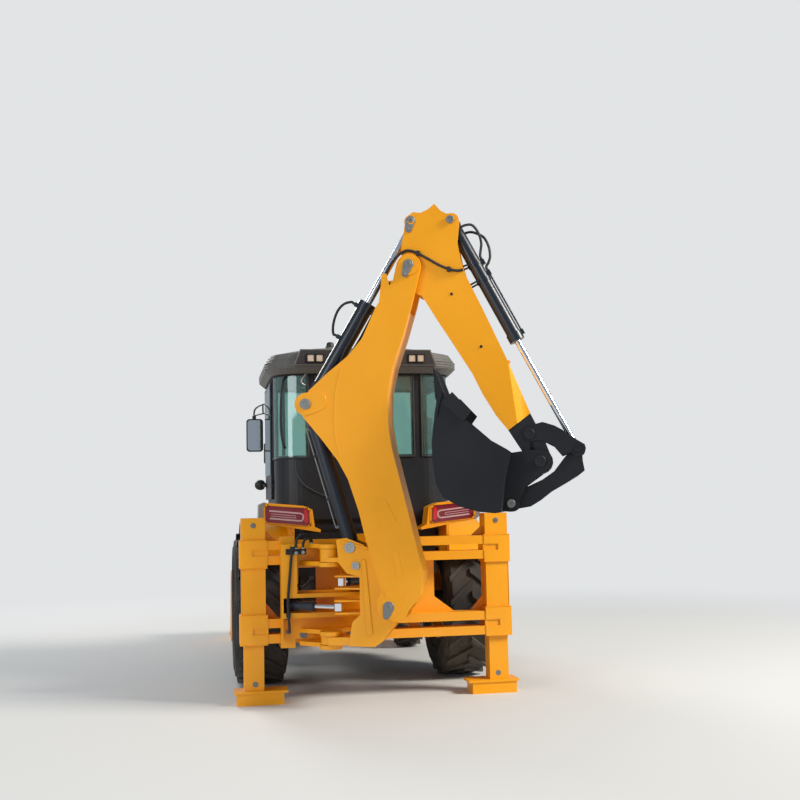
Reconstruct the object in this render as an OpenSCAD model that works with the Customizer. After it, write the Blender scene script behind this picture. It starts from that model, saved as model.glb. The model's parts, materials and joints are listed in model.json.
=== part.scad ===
/* [Wheels] */
// Distance from the rear axle to the front axle
wheelbase = 2180; // [2150:5:2200]
// Radius of a rear tyre over its lugs
rear_tyre_r = 700; // [690:1:705]
// Width of a rear tyre
rear_tyre_w = 480; // [440:5:480]
// Distance from the centreline to the middle of a rear tyre
rear_track = 950; // [945:5:955]
// Radius of a front tyre over its lugs
front_tyre_r = 450; // [440:1:455]
// Width of a front tyre
front_tyre_w = 330; // [300:5:330]
// Distance from the centreline to the middle of a front tyre
front_track = 850; // [850:5:870]
// Height of the tyre lugs
lug_h = 32; // [25:1:34]

/* [Rear frame] */
// Rear face of the two cross rails, behind the rear axle
rail_y = -1180; // [-1185:1:-1175]
// Depth of a cross rail, front to back
rail_d = 160; // [150:5:160]
// Height of a cross rail
rail_h = 200; // [190:1:202]
// Height of the slot along a cross rail
rail_slot = 52; // [40:1:56]
// Middle height of the upper rail
rail_top_z = 1248; // [1244:1:1252]
// Middle height of the lower rail
rail_low_z = 600; // [598:1:602]
// Outer half width of the stabiliser casings
casing_x = 1150; // [1145:1:1160]
// Width of a stabiliser casing
casing_w = 200; // [196:1:204]
// Top of the stabiliser casings
casing_top = 1540; // [1500:5:1560]
// Width of the inner leg of a stabiliser
leg_w = 166; // [160:1:168]

/* [Hoe] */
// Sideways place of the swing post, to the right of the centreline
post_x = -444; // [-460:1:-430]
// Distance of the swing post behind the rear axle
post_back = 1510; // [1505:1:1515]
// Swing of the hoe from straight back, to the right
swing = 71; // [71:1:72]
// Width of the boom
boom_w = 300; // [290:2:300]
// Width of the dipper
dipper_w = 210; // [200:2:212]
// Width of the hoe bucket
hoe_bucket_w = 600; // [500:10:620]

/* [Cab] */
// Half width of the cab at its waist
cab_x = 810; // [800:1:812]
// Height of the lower edge of the glass
waist_z = 2088; // [2060:1:2100]
// Height of the underside of the roof
eave_z = 2830; // [2820:1:2840]
// Height of the top of the roof
roof_z = 3070; // [3040:5:3080]

/* [Loader] */
// Half width of the loader bucket
loader_x = 1130; // [1100:5:1180]
// Height of the loader arm pivots
arm_z = 1640; // [1635:1:1645]
// Distance of the loader arm pivots ahead of the rear axle
arm_y = 1050; // [1045:1:1055]

/* [Hidden] */
$fn = 64;

// Running clearance between a pin and the bore round it
fit = 0.05;
// Seat between two pieces that rest on each other
seat = 0.3;

paint = "gold";
steel_dark = "dimgray";
coal = [0.12, 0.13, 0.14];
bright = "silver";
rubber_c = [0.1, 0.1, 0.1];

post_y = -post_back;
heading = swing - 90;
link_r = 62;
link_n = 116;
shell_u = 1580;
edge_y = 4080;
// Shift that puts the origin under the middle of the whole machine
reach_x = post_x + (2028 + link_r) * cos(heading) - link_n * sin(heading);
reach_y = post_y + shell_u * sin(heading) - hoe_bucket_w / 2 * cos(heading);
mid_x = (reach_x - rear_track - rear_tyre_w / 2) / 2;
mid_y = (edge_y + reach_y) / 2;

module stand() {
  translate([-mid_x, -mid_y, 0])
    children();
}

// A block between two values on each axis
module block(x, y, z) {
  translate([x[0], y[0], z[0]])
    cube([x[1] - x[0], y[1] - y[0], z[1] - z[0]]);
}

// Both halves of a symmetric pair
module both() {
  for (side = [0, 1])
    mirror([side, 0, 0])
      children();
}

// A round bar along X
module bar_x(x, y, z, r) {
  translate([x[0], y, z])
    rotate([0, 90, 0])
      cylinder(h = x[1] - x[0], r = r);
}

// A round bar between two points
module strut(a, b, r) {
  d = b - a;
  translate(a)
    rotate([0, acos(d[2] / norm(d)), atan2(d[1], d[0])])
      cylinder(h = norm(d), r = r);
}

// A plate seen from the side: points are [y, z] and x gives its two faces
module side_plate(x, pts) {
  translate([x[0], 0, 0])
    rotate([90, 0, 90])
      linear_extrude(x[1] - x[0])
        polygon(pts);
}

// A plate seen from behind: points are [x, z] and y gives its two faces
module rear_plate(y, pts) {
  translate([0, y[1], 0])
    rotate([90, 0, 0])
      linear_extrude(y[1] - y[0])
        polygon(pts);
}

function arc(c, r, a0, a1, n = 8) =
  [for (i = [0:n]) let (a = a0 + (a1 - a0) * i / n) [c[0] + r * cos(a), c[1] + r * sin(a)]];
function dist(a, b) = norm(b - a);
function ang(a, b) = atan2(b[1] - a[1], b[0] - a[0]);
function unit(v) = v / norm(v);
// A point s along the line from a to b and off it sideways
function beside(a, b, s, off) = let (d = unit(b - a)) a + s * d + off * [d[1], -d[0]];
function along(a, b, d) = a + (b - a) * d / norm(b - a);

/* Hoe plane: u runs out from the swing post, z up, n across the hoe */
foot_pin = [501, 812];
lift_foot = [188, 1295];
lug_pin = [-152, 2461];
elbow = [721, 3562];
dip_pin = [742, 3938];
ram_base = [1065, 3933];
tip_pin = [1650, 2170];
knuckle = [2028, 2042];
buck_pin = [1730, 1949];
link_pin = [1494, 1621];

module hoe() {
  stand()
    translate([post_x, post_y, 0])
      rotate([0, 0, heading])
        children();
}

// A plate in the hoe plane between two distances across it
module hoe_plate(n, pts) {
  translate([0, n[1], 0])
    rotate([90, 0, 0])
      linear_extrude(n[1] - n[0])
        polygon(pts);
}

// A pin or hole across the hoe plane
module hoe_pin(c, r, n) {
  translate([c[0], n[1], c[1]])
    rotate([90, 0, 0])
      cylinder(h = n[1] - n[0], r = r);
}

// The same plate or pin on both sides of the hoe plane
module hoe_pair() {
  children();
  mirror([0, 1, 0])
    children();
}

// Moves a rod or barrel drawn along Z onto the line from a to b
module hoe_line(a, b) {
  translate([a[0], 0, a[1]])
    rotate([0, 90 - ang(a, b), 0])
      children();
}

// Barrel with a bore: eye at the start, gland at the far end
module barrel(length, r, bore, eye_r, eye_w, pin_r) {
  difference() {
    union() {
      translate([0, 0, eye_r * 0.8])
        cylinder(h = length - eye_r * 0.8, r = r);
      translate([0, 0, length - 70])
        cylinder(h = 70, r = r + 8);
      rotate([90, 0, 0])
        cylinder(h = eye_w, r = eye_r, center = true);
    }
    translate([0, 0, eye_r + 25])
      cylinder(h = length, r = bore);
    rotate([90, 0, 0])
      cylinder(h = eye_w + 2, r = pin_r + fit, center = true);
  }
}

// Rod with a solid eye at its far end
module rod(from, to, r, eye_r, eye_w) {
  translate([0, 0, from])
    cylinder(h = to - from, r = r);
  translate([0, 0, to])
    rotate([90, 0, 0])
      cylinder(h = eye_w, r = eye_r, center = true);
}

/* Rear frame */

rail_front = rail_y + rail_d;
casing_in = casing_x - casing_w;
leg_x = casing_x - casing_w / 2;
leg_d = 150;
leg_gap = 0.8;
leg_y = rail_y + 100;

module rail(z) {
  difference() {
    block([-casing_in - 1, casing_in + 1], [rail_y, rail_front], [z - rail_h / 2, z + rail_h / 2]);
    block([-casing_in + 20, casing_in - 20], [rail_y - 5, rail_front + 5],
      [z - rail_slot / 2, z + rail_slot / 2]);
  }
}

module casing() {
  difference() {
    union() {
      block([casing_in, casing_x], [leg_y - 92, leg_y + 92], [490, casing_top]);
      block([casing_in - 15, casing_x + 15], [leg_y - 107, leg_y + 107], [490, 735]);
      block([casing_in - 15, casing_x + 15], [leg_y - 107, leg_y + 107], [1122, 1354]);
    }
    block([leg_x - leg_w / 2 - leg_gap, leg_x + leg_w / 2 + leg_gap],
      [leg_y - leg_d / 2 - leg_gap, leg_y + leg_d / 2 + leg_gap], [480, casing_top - 18]);
    // Recesses in line with the slots of the rails
    for (z = [rail_top_z, rail_low_z])
      block([casing_in - 20, casing_in + 111], [leg_y - 110, leg_y - 95],
        [z - rail_slot / 2, z + rail_slot / 2]);
  }
}

module rear_frame() {
  color(paint) stand() {
    rail(rail_top_z);
    rail(rail_low_z);
    // Panel between the rails, with an eight-sided hole on each side
    rear_plate([rail_front - 24, rail_front], [
      [-515, 690], [515, 690], [515, 1160], [-515, 1160]]);
    both() {
      casing();
      rear_plate([rail_front - 24, rail_front], [[514, 690], [700, 690], [514, 830]]);
      rear_plate([rail_front - 24, rail_front], [[casing_in + 1, 690], [830, 690], [casing_in + 1, 830]]);
      rear_plate([leg_y - 8, leg_y + 8], [[casing_in + 1, 1440], [845, 1347], [casing_in + 1, 1347]]);
      // Frame side member that carries the chassis rails
      block([300, 380], [rail_front - 1, -700], [566, 1270]);
    }
  }
}

module leg() {
  block([leg_x - leg_w / 2, leg_x + leg_w / 2],
    [leg_y - leg_d / 2, leg_y + leg_d / 2], [75, 1100]);
  block([leg_x - 279, leg_x + 165], [leg_y - 115, leg_y + 115], [96, 116]);
  block([leg_x - 245, leg_x + 145], [leg_y - 105, leg_y + 105], [0, 97]);
}

module leg_left() {
  color(paint) stand() mirror([1, 0, 0]) leg();
}

module leg_right() {
  color(paint) stand() leg();
}

/* Carriage and swing post */

slide_gap = 0.6;
car_in = rail_y - slide_gap;
car_half = 386;
post_r = 40;
ram_z = 818;
ram_z2 = 1010;
swing_base = [-330, 250];
crank = [65, 80];
swing_r = 40;

// Place of a crank pin on the swing post, in the machine's own directions
function turned(p, a) = [p[0] * cos(a) - p[1] * sin(a), p[0] * sin(a) + p[1] * cos(a)];
crank_l = turned([-crank[0], -crank[1]], swing);
crank_r = turned([crank[0], -crank[1]], swing);
base_l = swing_base;
base_r = [-swing_base[0], swing_base[1]];

module at_post() {
  translate([post_x, post_y, 0])
    children();
}

module ear(z) {
  // Ear plate round the swing post, joined to the back plate
  translate([0, 0, z[0]])
    linear_extrude(z[1] - z[0])
      union() {
        circle(r = 92);
        polygon([[-72, 0], [72, 0], [72, 125], [230, car_in - post_y - 35],
          [-230, car_in - post_y - 35], [-72, 125]]);
      }
}

module carriage() {
  color(paint) stand() at_post() {
    yb = car_in - post_y;
    difference() {
      union() {
        // Sliding back plate with a window in its middle
        difference() {
          block([-car_half, car_half], [yb - 36, yb], [534, 1320]);
          block([-car_half + 150, car_half - 150], [yb - 50, yb + 10], [930, 1120]);
          block([-car_half + 60, car_half - 60], [yb - 50, yb + 10], [757, 880]);
        }
        ear([1286, 1320]);
        ear([1140, 1174]);
        ear([585, 619]);
        ear([480, 514]);
        for (z = [[716, 757], [880, 913]])
          block([-car_half, car_half], [yb - 160, yb - 35], z);
        block([120, car_half], [yb - 160, yb - 35], [948, 962]);
        block([120, car_half], [yb - 160, yb - 35], [1058, 1072]);
        for (x = [[-car_half, -car_half + 16], [car_half - 16, car_half]]) {
          block(x, [yb - 160, yb - 35], [716, 1174]);
          block(x, [yb - 120, yb - 35], [534, 717]);
        }
        block([-car_half, -car_half + 130], [yb - 160, yb - 146], [905, 1320]);
        block([-car_half, -car_half + 16], [yb - 160, yb - 35], [1170, 1320]);
        // Hooks over the upper rail and under the lower rail
        for (x = [-car_half, car_half - 120]) {
          block([x, x + 120], [yb - 36, yb + rail_d + 40], [rail_top_z + rail_h / 2 + slide_gap, 1384]);
          block([x, x + 120], [yb - 36, yb], [1319, 1384]);
          block([x, x + 120], [yb + rail_d + 2 * slide_gap, yb + rail_d + 40], [1290, 1384]);
          block([x, x + 120], [yb - 36, yb + rail_d + 40], [462, rail_low_z - rail_h / 2 - slide_gap]);
          block([x, x + 120], [yb - 36, yb], [462, 540]);
          block([x, x + 120], [yb + rail_d + 2 * slide_gap, yb + rail_d + 40], [462, 545]);
        }
        // Posts in the upper and lower ears
        for (z = [[505, 595], [1165, 1295]])
          translate([0, 0, z[0]])
            cylinder(h = z[1] - z[0], r = post_r);
      }
      // Bores for the base pins of the two swing cylinders
      translate([base_l[0], base_l[1], 690])
        cylinder(h = 250, r = 22 + fit);
      translate([base_r[0], base_r[1], 940])
        cylinder(h = 150, r = 22 + fit);
    }
  }
}

// Swing cylinder barrel lying flat, with its base eye at a
module flat_ram(a, b, z, length) {
  translate([a[0], a[1], z])
    rotate([0, 0, ang(a, b)])
      rotate([90, 0, 90])
        difference() {
          union() {
            translate([0, 0, 28])
              cylinder(h = length - 28, r = swing_r);
            rotate([90, 0, 0])
              cylinder(h = 80, r = 36, center = true);
          }
          translate([0, 0, 50])
            cylinder(h = length, r = 20 + seat);
        }
}

module swing_rams() {
  color(coal) stand() at_post() {
    flat_ram(base_l, crank_l, ram_z, 275);
    flat_ram(base_r, crank_r, ram_z2, 245);
    translate([base_l[0], base_l[1], 700])
      cylinder(h = 230, r = 22);
    translate([base_r[0], base_r[1], 940])
      cylinder(h = 150, r = 22);
  }
}

module flat_rod(a, b, z, from) {
  translate([a[0], a[1], z])
    rotate([0, 0, ang(a, b)])
      rotate([90, 0, 90]) {
        translate([0, 0, from])
          cylinder(h = dist(a, b) - from, r = 20);
        translate([0, 0, dist(a, b)])
          rotate([90, 0, 0])
            cylinder(h = 60, r = 38, center = true);
      }
}

module swing_rod_left() {
  color(bright) stand() at_post() flat_rod(base_l, crank_l, ram_z, 248);
}

module swing_rod_right() {
  color(bright) stand() at_post() flat_rod(base_r, crank_r, ram_z2, 72);
}

post_w = 222;

module swing_post() {
  color(paint) {
    hoe() {
      difference() {
        union() {
          // Side cheeks of the casting
          hoe_pair()
            hoe_plate([post_w / 2 - 26, post_w / 2], [
              [77, 1358], [94, 1172], [160, 1090], [264, 1060], [264, 760], [199, 700],
              [166, 512], [379, 507], [439, 546], [560, 700], [590, 812], [560, 880],
              [500, 905], [447, 947], [376, 1179], [377, 1250], [297, 1315], [159, 1372]]);
          // Web that joins the cheeks
          hoe_plate([-post_w / 2 + 20, post_w / 2 - 20], [
            [266, 1060], [266, 760], [225, 700], [200, 520], [370, 520], [420, 700],
            [400, 947], [300, 1130], [240, 1130]]);
          // Hubs between the ears
          for (z = [[1178, 1282], [518, 581]])
            translate([0, 0, z[0]])
              cylinder(h = z[1] - z[0], r = 82);
          block([0, 240], [-post_w / 2 + 5, post_w / 2 - 5], [1178, 1215]);
          block([0, 260], [-post_w / 2 + 5, post_w / 2 - 5], [518, 581]);
          // Crank plates that hold the rods' eyes
          for (z = [ram_z - 56, ram_z + 42])
            translate([0, 0, z])
              linear_extrude(14)
                polygon([[40, 20], [40, -60], [60, -100], [110, -100], [275, -60], [275, 60], [110, 20]]);
          for (z = [ram_z2 - 56, ram_z2 + 42])
            translate([0, 0, z])
              linear_extrude(14)
                polygon([[40, -20], [40, 60], [60, 100], [110, 100], [275, 60], [275, -60], [110, -20]]);
        }
        for (z = [[1170, 1290], [510, 590]])
          translate([0, 0, z[0]])
            cylinder(h = z[1] - z[0], r = post_r + fit);
        // Bore of the boom foot and of the boom cylinder's foot
        hoe_pin(foot_pin, 42, [-200, 200]);
        hoe_pin(lift_foot, 32, [-200, 200]);
      }
      hoe_pin(foot_pin, 42, [-152, 152]);
      hoe_pin(lift_foot, 32, [-118, 118]);
    }
  }
}

/* Boom */

boom_half = boom_w / 2;
boom_wall = 18;

module boom() {
  color(paint) hoe() {
    difference() {
      union() {
        hoe_plate([-boom_half, boom_half], concat(
          arc(elbow, 100, 163, -12, 8),
          [[741, 3245], [664, 2994], [575, 2745], [528, 2525], [520, 2302], [554, 2079],
           [626, 1777], [691, 1500], [757, 1200], [784, 1093], [758, 905]],
          arc([560, 800], 95, -10, -150, 6),
          [[400, 860], [447, 947], [376, 1179], [324, 1370], [272, 1590], [191, 1840], [109, 1994],
           [-31, 2181], [-172, 2352]],
          arc(lug_pin, 65, 210, 90, 5),
          [[-120, 2575], [35, 2711], [208, 2845], [325, 2982], [443, 3231], [590, 3451]]));
        hoe_pair()
          hoe_pin(elbow, 82, [boom_half - 1, boom_half + 12]);
      }
      // Open channel for the cylinders at the lug
      hoe_plate([-boom_half + boom_wall, boom_half - boom_wall], [
        [-400, 1700], [218, 1700], [150, 2000], [100, 2250], [90, 2461], [110, 2640], [210, 2848],
        [-400, 3300]]);
      // Fork for the dipper
      hoe_plate([-dipper_w / 2 - 8, dipper_w / 2 + 8], [
        [400, 3290], [560, 3180], [900, 3180], [900, 3800], [400, 3800]]);
      // Fork for the swing post
      hoe_plate([-post_w / 2 - 5, post_w / 2 + 5], [
        [200, 600], [700, 600], [700, 950], [640, 1080], [560, 1420], [200, 1440]]);
      hoe_pin(foot_pin, 42 + fit, [-200, 200]);
    }
    // Brackets that hold the hoses by the elbow
    hoe_pair()
      hoe_plate([boom_half - 6.2, boom_half], [[470, 3270], [560, 3400], [536, 3506], [502, 3506]]);
    // Pins at the lug, short of the middle
    hoe_pair()
      hoe_pin(lug_pin, 32, [44, boom_half + 14]);
    hoe_pair()
      hoe_pin(elbow, 38, [dipper_w / 2 - 30, boom_half + 20]);
  }
}

// Ports of the bucket cylinder's tube along the barrel, and the tube's distance from its axis
tube_ports = [400, 500, 1060];
tube_off = 70;
// Ports on the side of the dipper cylinder: places along it, and how far their faces stand off
ram_ports = [614, 918];
ram_port_off = 92;
function in_hoe(p) = [p[0], 0, p[1]];
function tube_port(i, gap) = beside(ram_base, knuckle, tube_ports[i] - gap, -tube_off);
function ram_port(i, gap) = beside(lug_pin, dip_pin, ram_ports[i], -ram_port_off - gap);

lift_len = dist(lift_foot, lug_pin);
dip_len = dist(lug_pin, dip_pin);
buck_len = dist(ram_base, knuckle);

module boom_barrel() {
  color(coal) hoe()
    hoe_line(lift_foot, lug_pin)
      barrel(1100, 62, 35.3, 60, 150, 32);
}

module boom_rod() {
  color(bright) hoe()
    hoe_line(lift_foot, lug_pin)
      rod(120, lift_len, 35, 52, 80);
}

module dipper_barrel() {
  color(coal) hoe()
    hoe_line(lug_pin, dip_pin)
      difference() {
        union() {
          translate([0, 0, 175])
            cylinder(h = 800, r = 66);
          translate([0, 0, 905])
            cylinder(h = 70, r = 75);
          for (z = ram_ports)
            block([-ram_port_off, -60], [-18, 18], [z - 18, z + 18]);
          hoe_pair()
            rotate([90, 0, 0])
              translate([0, 0, 46])
                linear_extrude(30)
                  union() {
                    circle(r = 55);
                    translate([-55, 0])
                      square([110, 200]);
                  }
        }
        translate([0, 0, 215])
          cylinder(h = 800, r = 30.3);
        rotate([90, 0, 0])
          cylinder(h = 300, r = 32 + fit, center = true);
      }
}

module dipper_rod() {
  color(bright) hoe()
    hoe_line(lug_pin, dip_pin)
      rod(865, dip_len, 30, 48, 90);
}

/* Dipper */

dip_half = dipper_w / 2;

module dipper() {
  color(paint) hoe() {
    difference() {
      union() {
        hoe_plate([-dip_half, dip_half], concat(
          arc(dip_pin, 55, 200, 110, 5),
          [[760, 4015], [823, 4005], [886, 4032], [938, 4074], [987, 4014], [1036, 3986]],
          arc([1076, 3928], 60, 80, 0, 4),
          [[1133, 3865], [1119, 3740], [1139, 3614], [1172, 3486], [1231, 3359], [1313, 3180],
           [1484, 2790], [1664, 2331], [1774, 2104]],
          arc(buck_pin, 100, 40, -150, 8),
          [[1615, 1991], [1487, 2200], [1397, 2316], [1294, 2490], [1212, 2665], [1059, 2918],
           [940, 3110], [820, 3316], [783, 3330], [665, 3560], [655, 3715], [684, 3870]]));
      }
      // Pocket for the dipper cylinder's rod eye
      hoe_plate([-dip_half + 20, dip_half - 20], [
        [500, 3650], [690, 3680], [905, 3770], [905, 4100], [500, 4100]]);
      // Pocket for the bucket cylinder's base
      hoe_plate([-dip_half + 20, dip_half - 20], [
        [975, 4100], [975, 3870], [1040, 3720], [1130, 3560], [1300, 3400], [1300, 4100]]);
      // Elbow bore
      hoe_pin(elbow, 38 + fit, [-200, 200]);
      // Narrow nose between the bucket's ears
      hoe_pair()
        hoe_plate([92, 140], [
          [1487, 2200], [1562, 2250], [1500, 2760], [1700, 2760], [2000, 2331], [2000, 1700], [1500, 1700]]);
      hoe_pin(buck_pin, 35 + fit, [-200, 200]);
    }
    hoe_pair()
      hoe_pin(dip_pin, 28, [49, dip_half + 14]);
    hoe_pin(ram_base, 30, [-dip_half - 12, dip_half + 12]);
    hoe_pin(tip_pin, 32, [-122, 122]);
  }
}

module bucket_barrel() {
  color(coal) hoe()
    hoe_line(ram_base, knuckle) {
      barrel(1127, 56, 26.3, 52, 160, 30);
      // Steel tube to the gland, with its ports
      translate([-tube_off, 0, tube_ports[1] + 30])
        cylinder(h = tube_ports[2] - tube_ports[1], r = 8);
      for (z = tube_ports)
        block([-tube_off - 14, -50], [-20, 20], [z, z + 40]);
    }
}

module bucket_rod() {
  color(bright) hoe()
    hoe_line(ram_base, knuckle)
      rod(760, buck_len, 26, 50, 80);
}

module tipping_links() {
  color(coal) hoe() {
    difference() {
      hoe_pair()
        hoe_plate([98, link_n], concat(
          arc(tip_pin, link_r, 110, 260, 6),
          [[1720, 2115], [1774, 2104], [1843, 2067], [1905, 1990]],
          arc(knuckle, link_r, 210, 390, 6),
          [[1995, 2128], [1907, 2195], [1849, 2228], [1759, 2258]]));
      hoe_pin(tip_pin, 32 + fit, [-130, 130]);
    }
    hoe_pair()
      hoe_pin(knuckle, 28, [80, 126]);
  }
}

module bucket_link() {
  color(coal) hoe()
    difference() {
      hoe_pair()
        hoe_plate([48, 76], concat(
          arc(knuckle, 56, 60, 200, 6),
          [[1925, 1980], [1837, 1868], [1744, 1805], [1620, 1750], [1500, 1680]],
          arc(link_pin, 50, 140, 280, 6),
          [[1639, 1593], [1721, 1641], [1811, 1709], [1932, 1776], [2021, 1829], [2075, 1870],
           [2063, 1941]]));
      hoe_pin(link_pin, 30 + fit, [-130, 130]);
    }
}

/* Hoses */

hose_r = 11;

// A rounded route through points, four steps to a stretch
function smooth_route(p) = let (n = len(p))
  concat([for (i = [0:n - 2], k = [0:3])
    let (t = k / 4, a = i == 0 ? 2 * p[0] - p[1] : p[i - 1], b = p[i], c = p[i + 1],
         d = i == n - 2 ? 2 * c - b : p[i + 2])
      (2 * b + (c - a) * t + (2 * a - 5 * b + 4 * c - d) * t * t
        + (3 * b - a - 3 * c + d) * t * t * t) / 2],
    [p[n - 1]]);

// A hose in a plane square to Y, or nearly, along a rounded route
module hose(points, r = hose_r, sides = 10) {
  path = smooth_route(points);
  n = len(path);
  polyhedron(
    points = [for (i = [0:n - 1])
      let (t = path[min(i + 1, n - 1)] - path[max(i - 1, 0)],
           a = unit(cross(t, [0, 1, 0])), b = unit(cross(t, a)))
        for (k = [0:sides - 1])
          path[i] + r * (cos(360 * k / sides) * a + sin(360 * k / sides) * b)],
    faces = concat(
      [[for (k = [0:sides - 1]) k]],
      [for (i = [0:n - 2], k = [0:sides - 1]) let (j = (k + 1) % sides)
        [i * sides + k, (i + 1) * sides + k, (i + 1) * sides + j]],
      [for (i = [0:n - 2], k = [0:sides - 1]) let (j = (k + 1) % sides)
        [i * sides + k, (i + 1) * sides + j, i * sides + j]],
      [[for (k = [sides - 1:-1:0]) (n - 1) * sides + k]]));
}

// A hose on each side of the boom, from its open channel to a bracket by the elbow
module boom_hoses() {
  color(coal) hoe() hoe_pair() {
    hose([[110, 116, 2690], [160, 120, 2860], [262, 128, 3030], [345, 133.5, 3180], [423, 133.5, 3309],
      [467, 133.5, 3390], [519, 133.5, 3488]], 10);
    block([96, 124], [104, boom_half - boom_wall - seat], [2676, 2704]);
  }
}

// Hoses along the dipper's left face, and two from its top to the ports of the bucket cylinder
module dipper_hoses() {
  face = -dip_half - hose_r - 1;
  color(coal) hoe() {
    hose([[778, face, 3674], [813, face, 3655], [894, face, 3605], [975, face, 3555], [1056, face, 3519],
      [1120, face, 3506], [1160, face, 3512]]);
    for (c = [[796, 3650], [1045, 3505]])
      block([c[0] - 14, c[0] + 14], [-dip_half - 26, -dip_half - seat], [c[1] - 4, c[1] + 36]);
    hose([[1112, -71, 3838], [1150, -71, 3874], [1184, -64, 3890], [1233, -48, 3894], [1270, -32, 3858],
      [1297, -20, 3800], [1306, -10, 3741], [1299, -2, 3690], [1294, 0, 3642], in_hoe(tube_port(0, seat))]);
    hose([[1112, 71, 3812], [1150, 71, 3848], [1215, 64, 3862], [1281, 44, 3835], [1330, 28, 3796],
      [1364, 16, 3721], [1374, 8, 3640], [1360, 2, 3585], [1341, 0, 3550], in_hoe(tube_port(1, seat))]);
    // Clips in the pocket round the cylinder's base
    for (c = [[-1, 3838], [1, 3812]])
      block([1098, 1122], c[0] < 0 ? [-dip_half + 20 + seat, -62] : [62, dip_half - 20 - seat],
        [c[1] - 10, c[1] + 14]);
  }
}

// Loop between the two ports on the dipper cylinder's side
module ram_hose() {
  color(coal) hoe() {
    hose(concat([for (gap = [seat, 18, 36]) in_hoe(ram_port(0, gap))],
      [[54, 0, 3112], [71, 0, 3187], [103, 0, 3254], [152, 0, 3300]],
      [for (gap = [38, 18, seat]) in_hoe(ram_port(1, gap))]));
  }
}

// Hoses down the left side of the carriage and their loop behind the upper rail
module carriage_hoses() {
  color(coal) stand() {
    y = car_in - 172;
    y2 = car_in - 62;
    hose([[-739, y, 1290], [-750, y, 1192], [-760, y, 1070], [-772, y, 948], [-777, y, 867], [-776, y, 769],
      [-770, y, 663], [-768, y, 600]]);
    hose([[-731, y2, 1224], [-740, y2, 1142], [-733, y2, 1044], [-701, y2, 986], [-652, y2, 959],
      [-610, y2, 982], [-570, y2, 1036]]);
    // Clamps on the carriage
    for (c = [[-739, 1285], [-775, 740]])
      block([c[0] - 18, c[0] + 18], [y - 16, car_in - 160 - seat], [c[1] - 16, c[1] + 16]);
    for (c = [[-731, 1224], [-572, 1034]])
      block([c[0] - 18, c[0] + 18], [car_in - 80, car_in - 36 - seat], [c[1] - 16, c[1] + 16]);
  }
}

/* Hoe bucket */

buck_half = hoe_bucket_w / 2;
shell_out = [[1425, 1556], [1378, 1549], [1256, 1561], [1107, 1604], [977, 1676], [919, 1789],
  [898, 1962], [896, 2125], [922, 2318], [944, 2441]];
shell_in = [[970, 2436], [944, 2316], [918, 2123], [920, 1964], [941, 1798], [994, 1691],
  [1117, 1625], [1261, 1583], [1380, 1571], [1404, 1576]];
shell_back = [[1425, 1556], [1452, 1800], [1506, 2025], [1483, 2042], [1428, 1803], [1402, 1575]];

module hoe_bucket() {
  color(coal) hoe() {
    difference() {
      union() {
        hoe_plate([-buck_half, buck_half], concat(shell_out, shell_in));
        hoe_pair()
          hoe_plate([buck_half - 20, buck_half], concat(
            shell_out,
            [[1044, 2478], [1171, 2280], [1343, 2125], [1483, 2042], [1506, 2025], [1452, 1800]]));
        // Back plate that closes the shell behind the ears
        hoe_plate([-buck_half, buck_half], shell_back);
        // Ears
        hoe_pair()
          hoe_plate([96, 122], concat(
            arc(buck_pin, 92, 100, -60, 6),
            [[1620, 1760]],
            arc(link_pin, 66, 20, -100, 5),
            [[1415, 1562], [1442, 1800], [1494, 2020], [1640, 2038]]));
        // Cutting edge and teeth
        hoe_plate([-buck_half - 14, buck_half + 14], [
          [922, 2318], [944, 2441], [955, 2500], [985, 2500], [970, 2436], [944, 2316]]);
        for (i = [0:4])
          translate([0, -buck_half + 45 + i * (hoe_bucket_w - 90) / 4, 0])
            hoe_plate([-32, 32], [[930, 2450], [918, 2703], [926, 2703], [1010, 2470], [985, 2440]]);
        // Side cutters
        hoe_pair()
          hoe_plate([buck_half - 1, buck_half + 20], [
            [980, 2420], [1069, 2502], [1208, 2349], [1150, 2270]]);
      }
      hoe_pin(buck_pin, 35, [-130, 130]);
      hoe_pin(link_pin, 30, [-130, 130]);
    }
    hoe_pin(buck_pin, 35, [-134, 134]);
    hoe_pin(link_pin, 30, [-134, 134]);
  }
}

/* Chassis, axles and wheels */

tow_y = 2760;
tow_r = 16;

module chassis() {
  color(steel_dark) stand() {
    both() {
      side_plate([300, 380], [[-700, 566], [-700, 1000], [260, 1000], [420, 760], [2620, 760],
        [2620, 560], [330, 560], [200, 815], [-200, 815], [-330, 566]]);
      // Bracket of the loader tower and the tower itself
      block([379, 486], [930, 1130], [560, 760]);
      side_plate([440, 486], [[900, 560], [1150, 560], [1150, 900], [1125, 1640],
        [1110, 1720], [990, 1720], [975, 1640], [850, 900], [850, 560]]);
      // Pivot pin of a loader arm
      bar_x([450, 640], arm_y, arm_z, 40);
      bar_x([628, 644], arm_y, arm_z, 62);
      // Foot pin of a lift cylinder
      bar_x([450, 632], lift_b[0], lift_b[1], 28);
    }
    for (y = [-520, 700, 1500])
      block([-301, 301], [y, y + 120], [580, 740]);
    // Front block with the towing ears
    block([-380, 380], [2619, 2700], [470, 900]);
    difference() {
      for (z = [560, 640])
        block([-60, 60], [2699, 2800], [z, z + 20]);
      translate([0, tow_y, 500])
        cylinder(h = 200, r = tow_r);
    }
    // Carrier of the front axle
    block([-301, 301], [wheelbase - 150, wheelbase + 150], [600, 640]);
    // Cab floor beams
    for (y = [-500, 600])
      block([-600, 600], [y, y + 90], [760, 1000]);
  }
}

module engine() {
  color(steel_dark) stand() {
    block([-240, 240], [1300, 2300], [740, 1330]);
    block([-200, 200], [900, 1301], [620, 980]);
    block([-300, 300], [2420, 2530], [780, 1400]);
    bar_y([0, 0], [2299, 2425], 1050, 60);
    for (x = [-150, 150])
      block([x - 40, x + 40], [1700, 1800], [600, 741]);
  }
}

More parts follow.
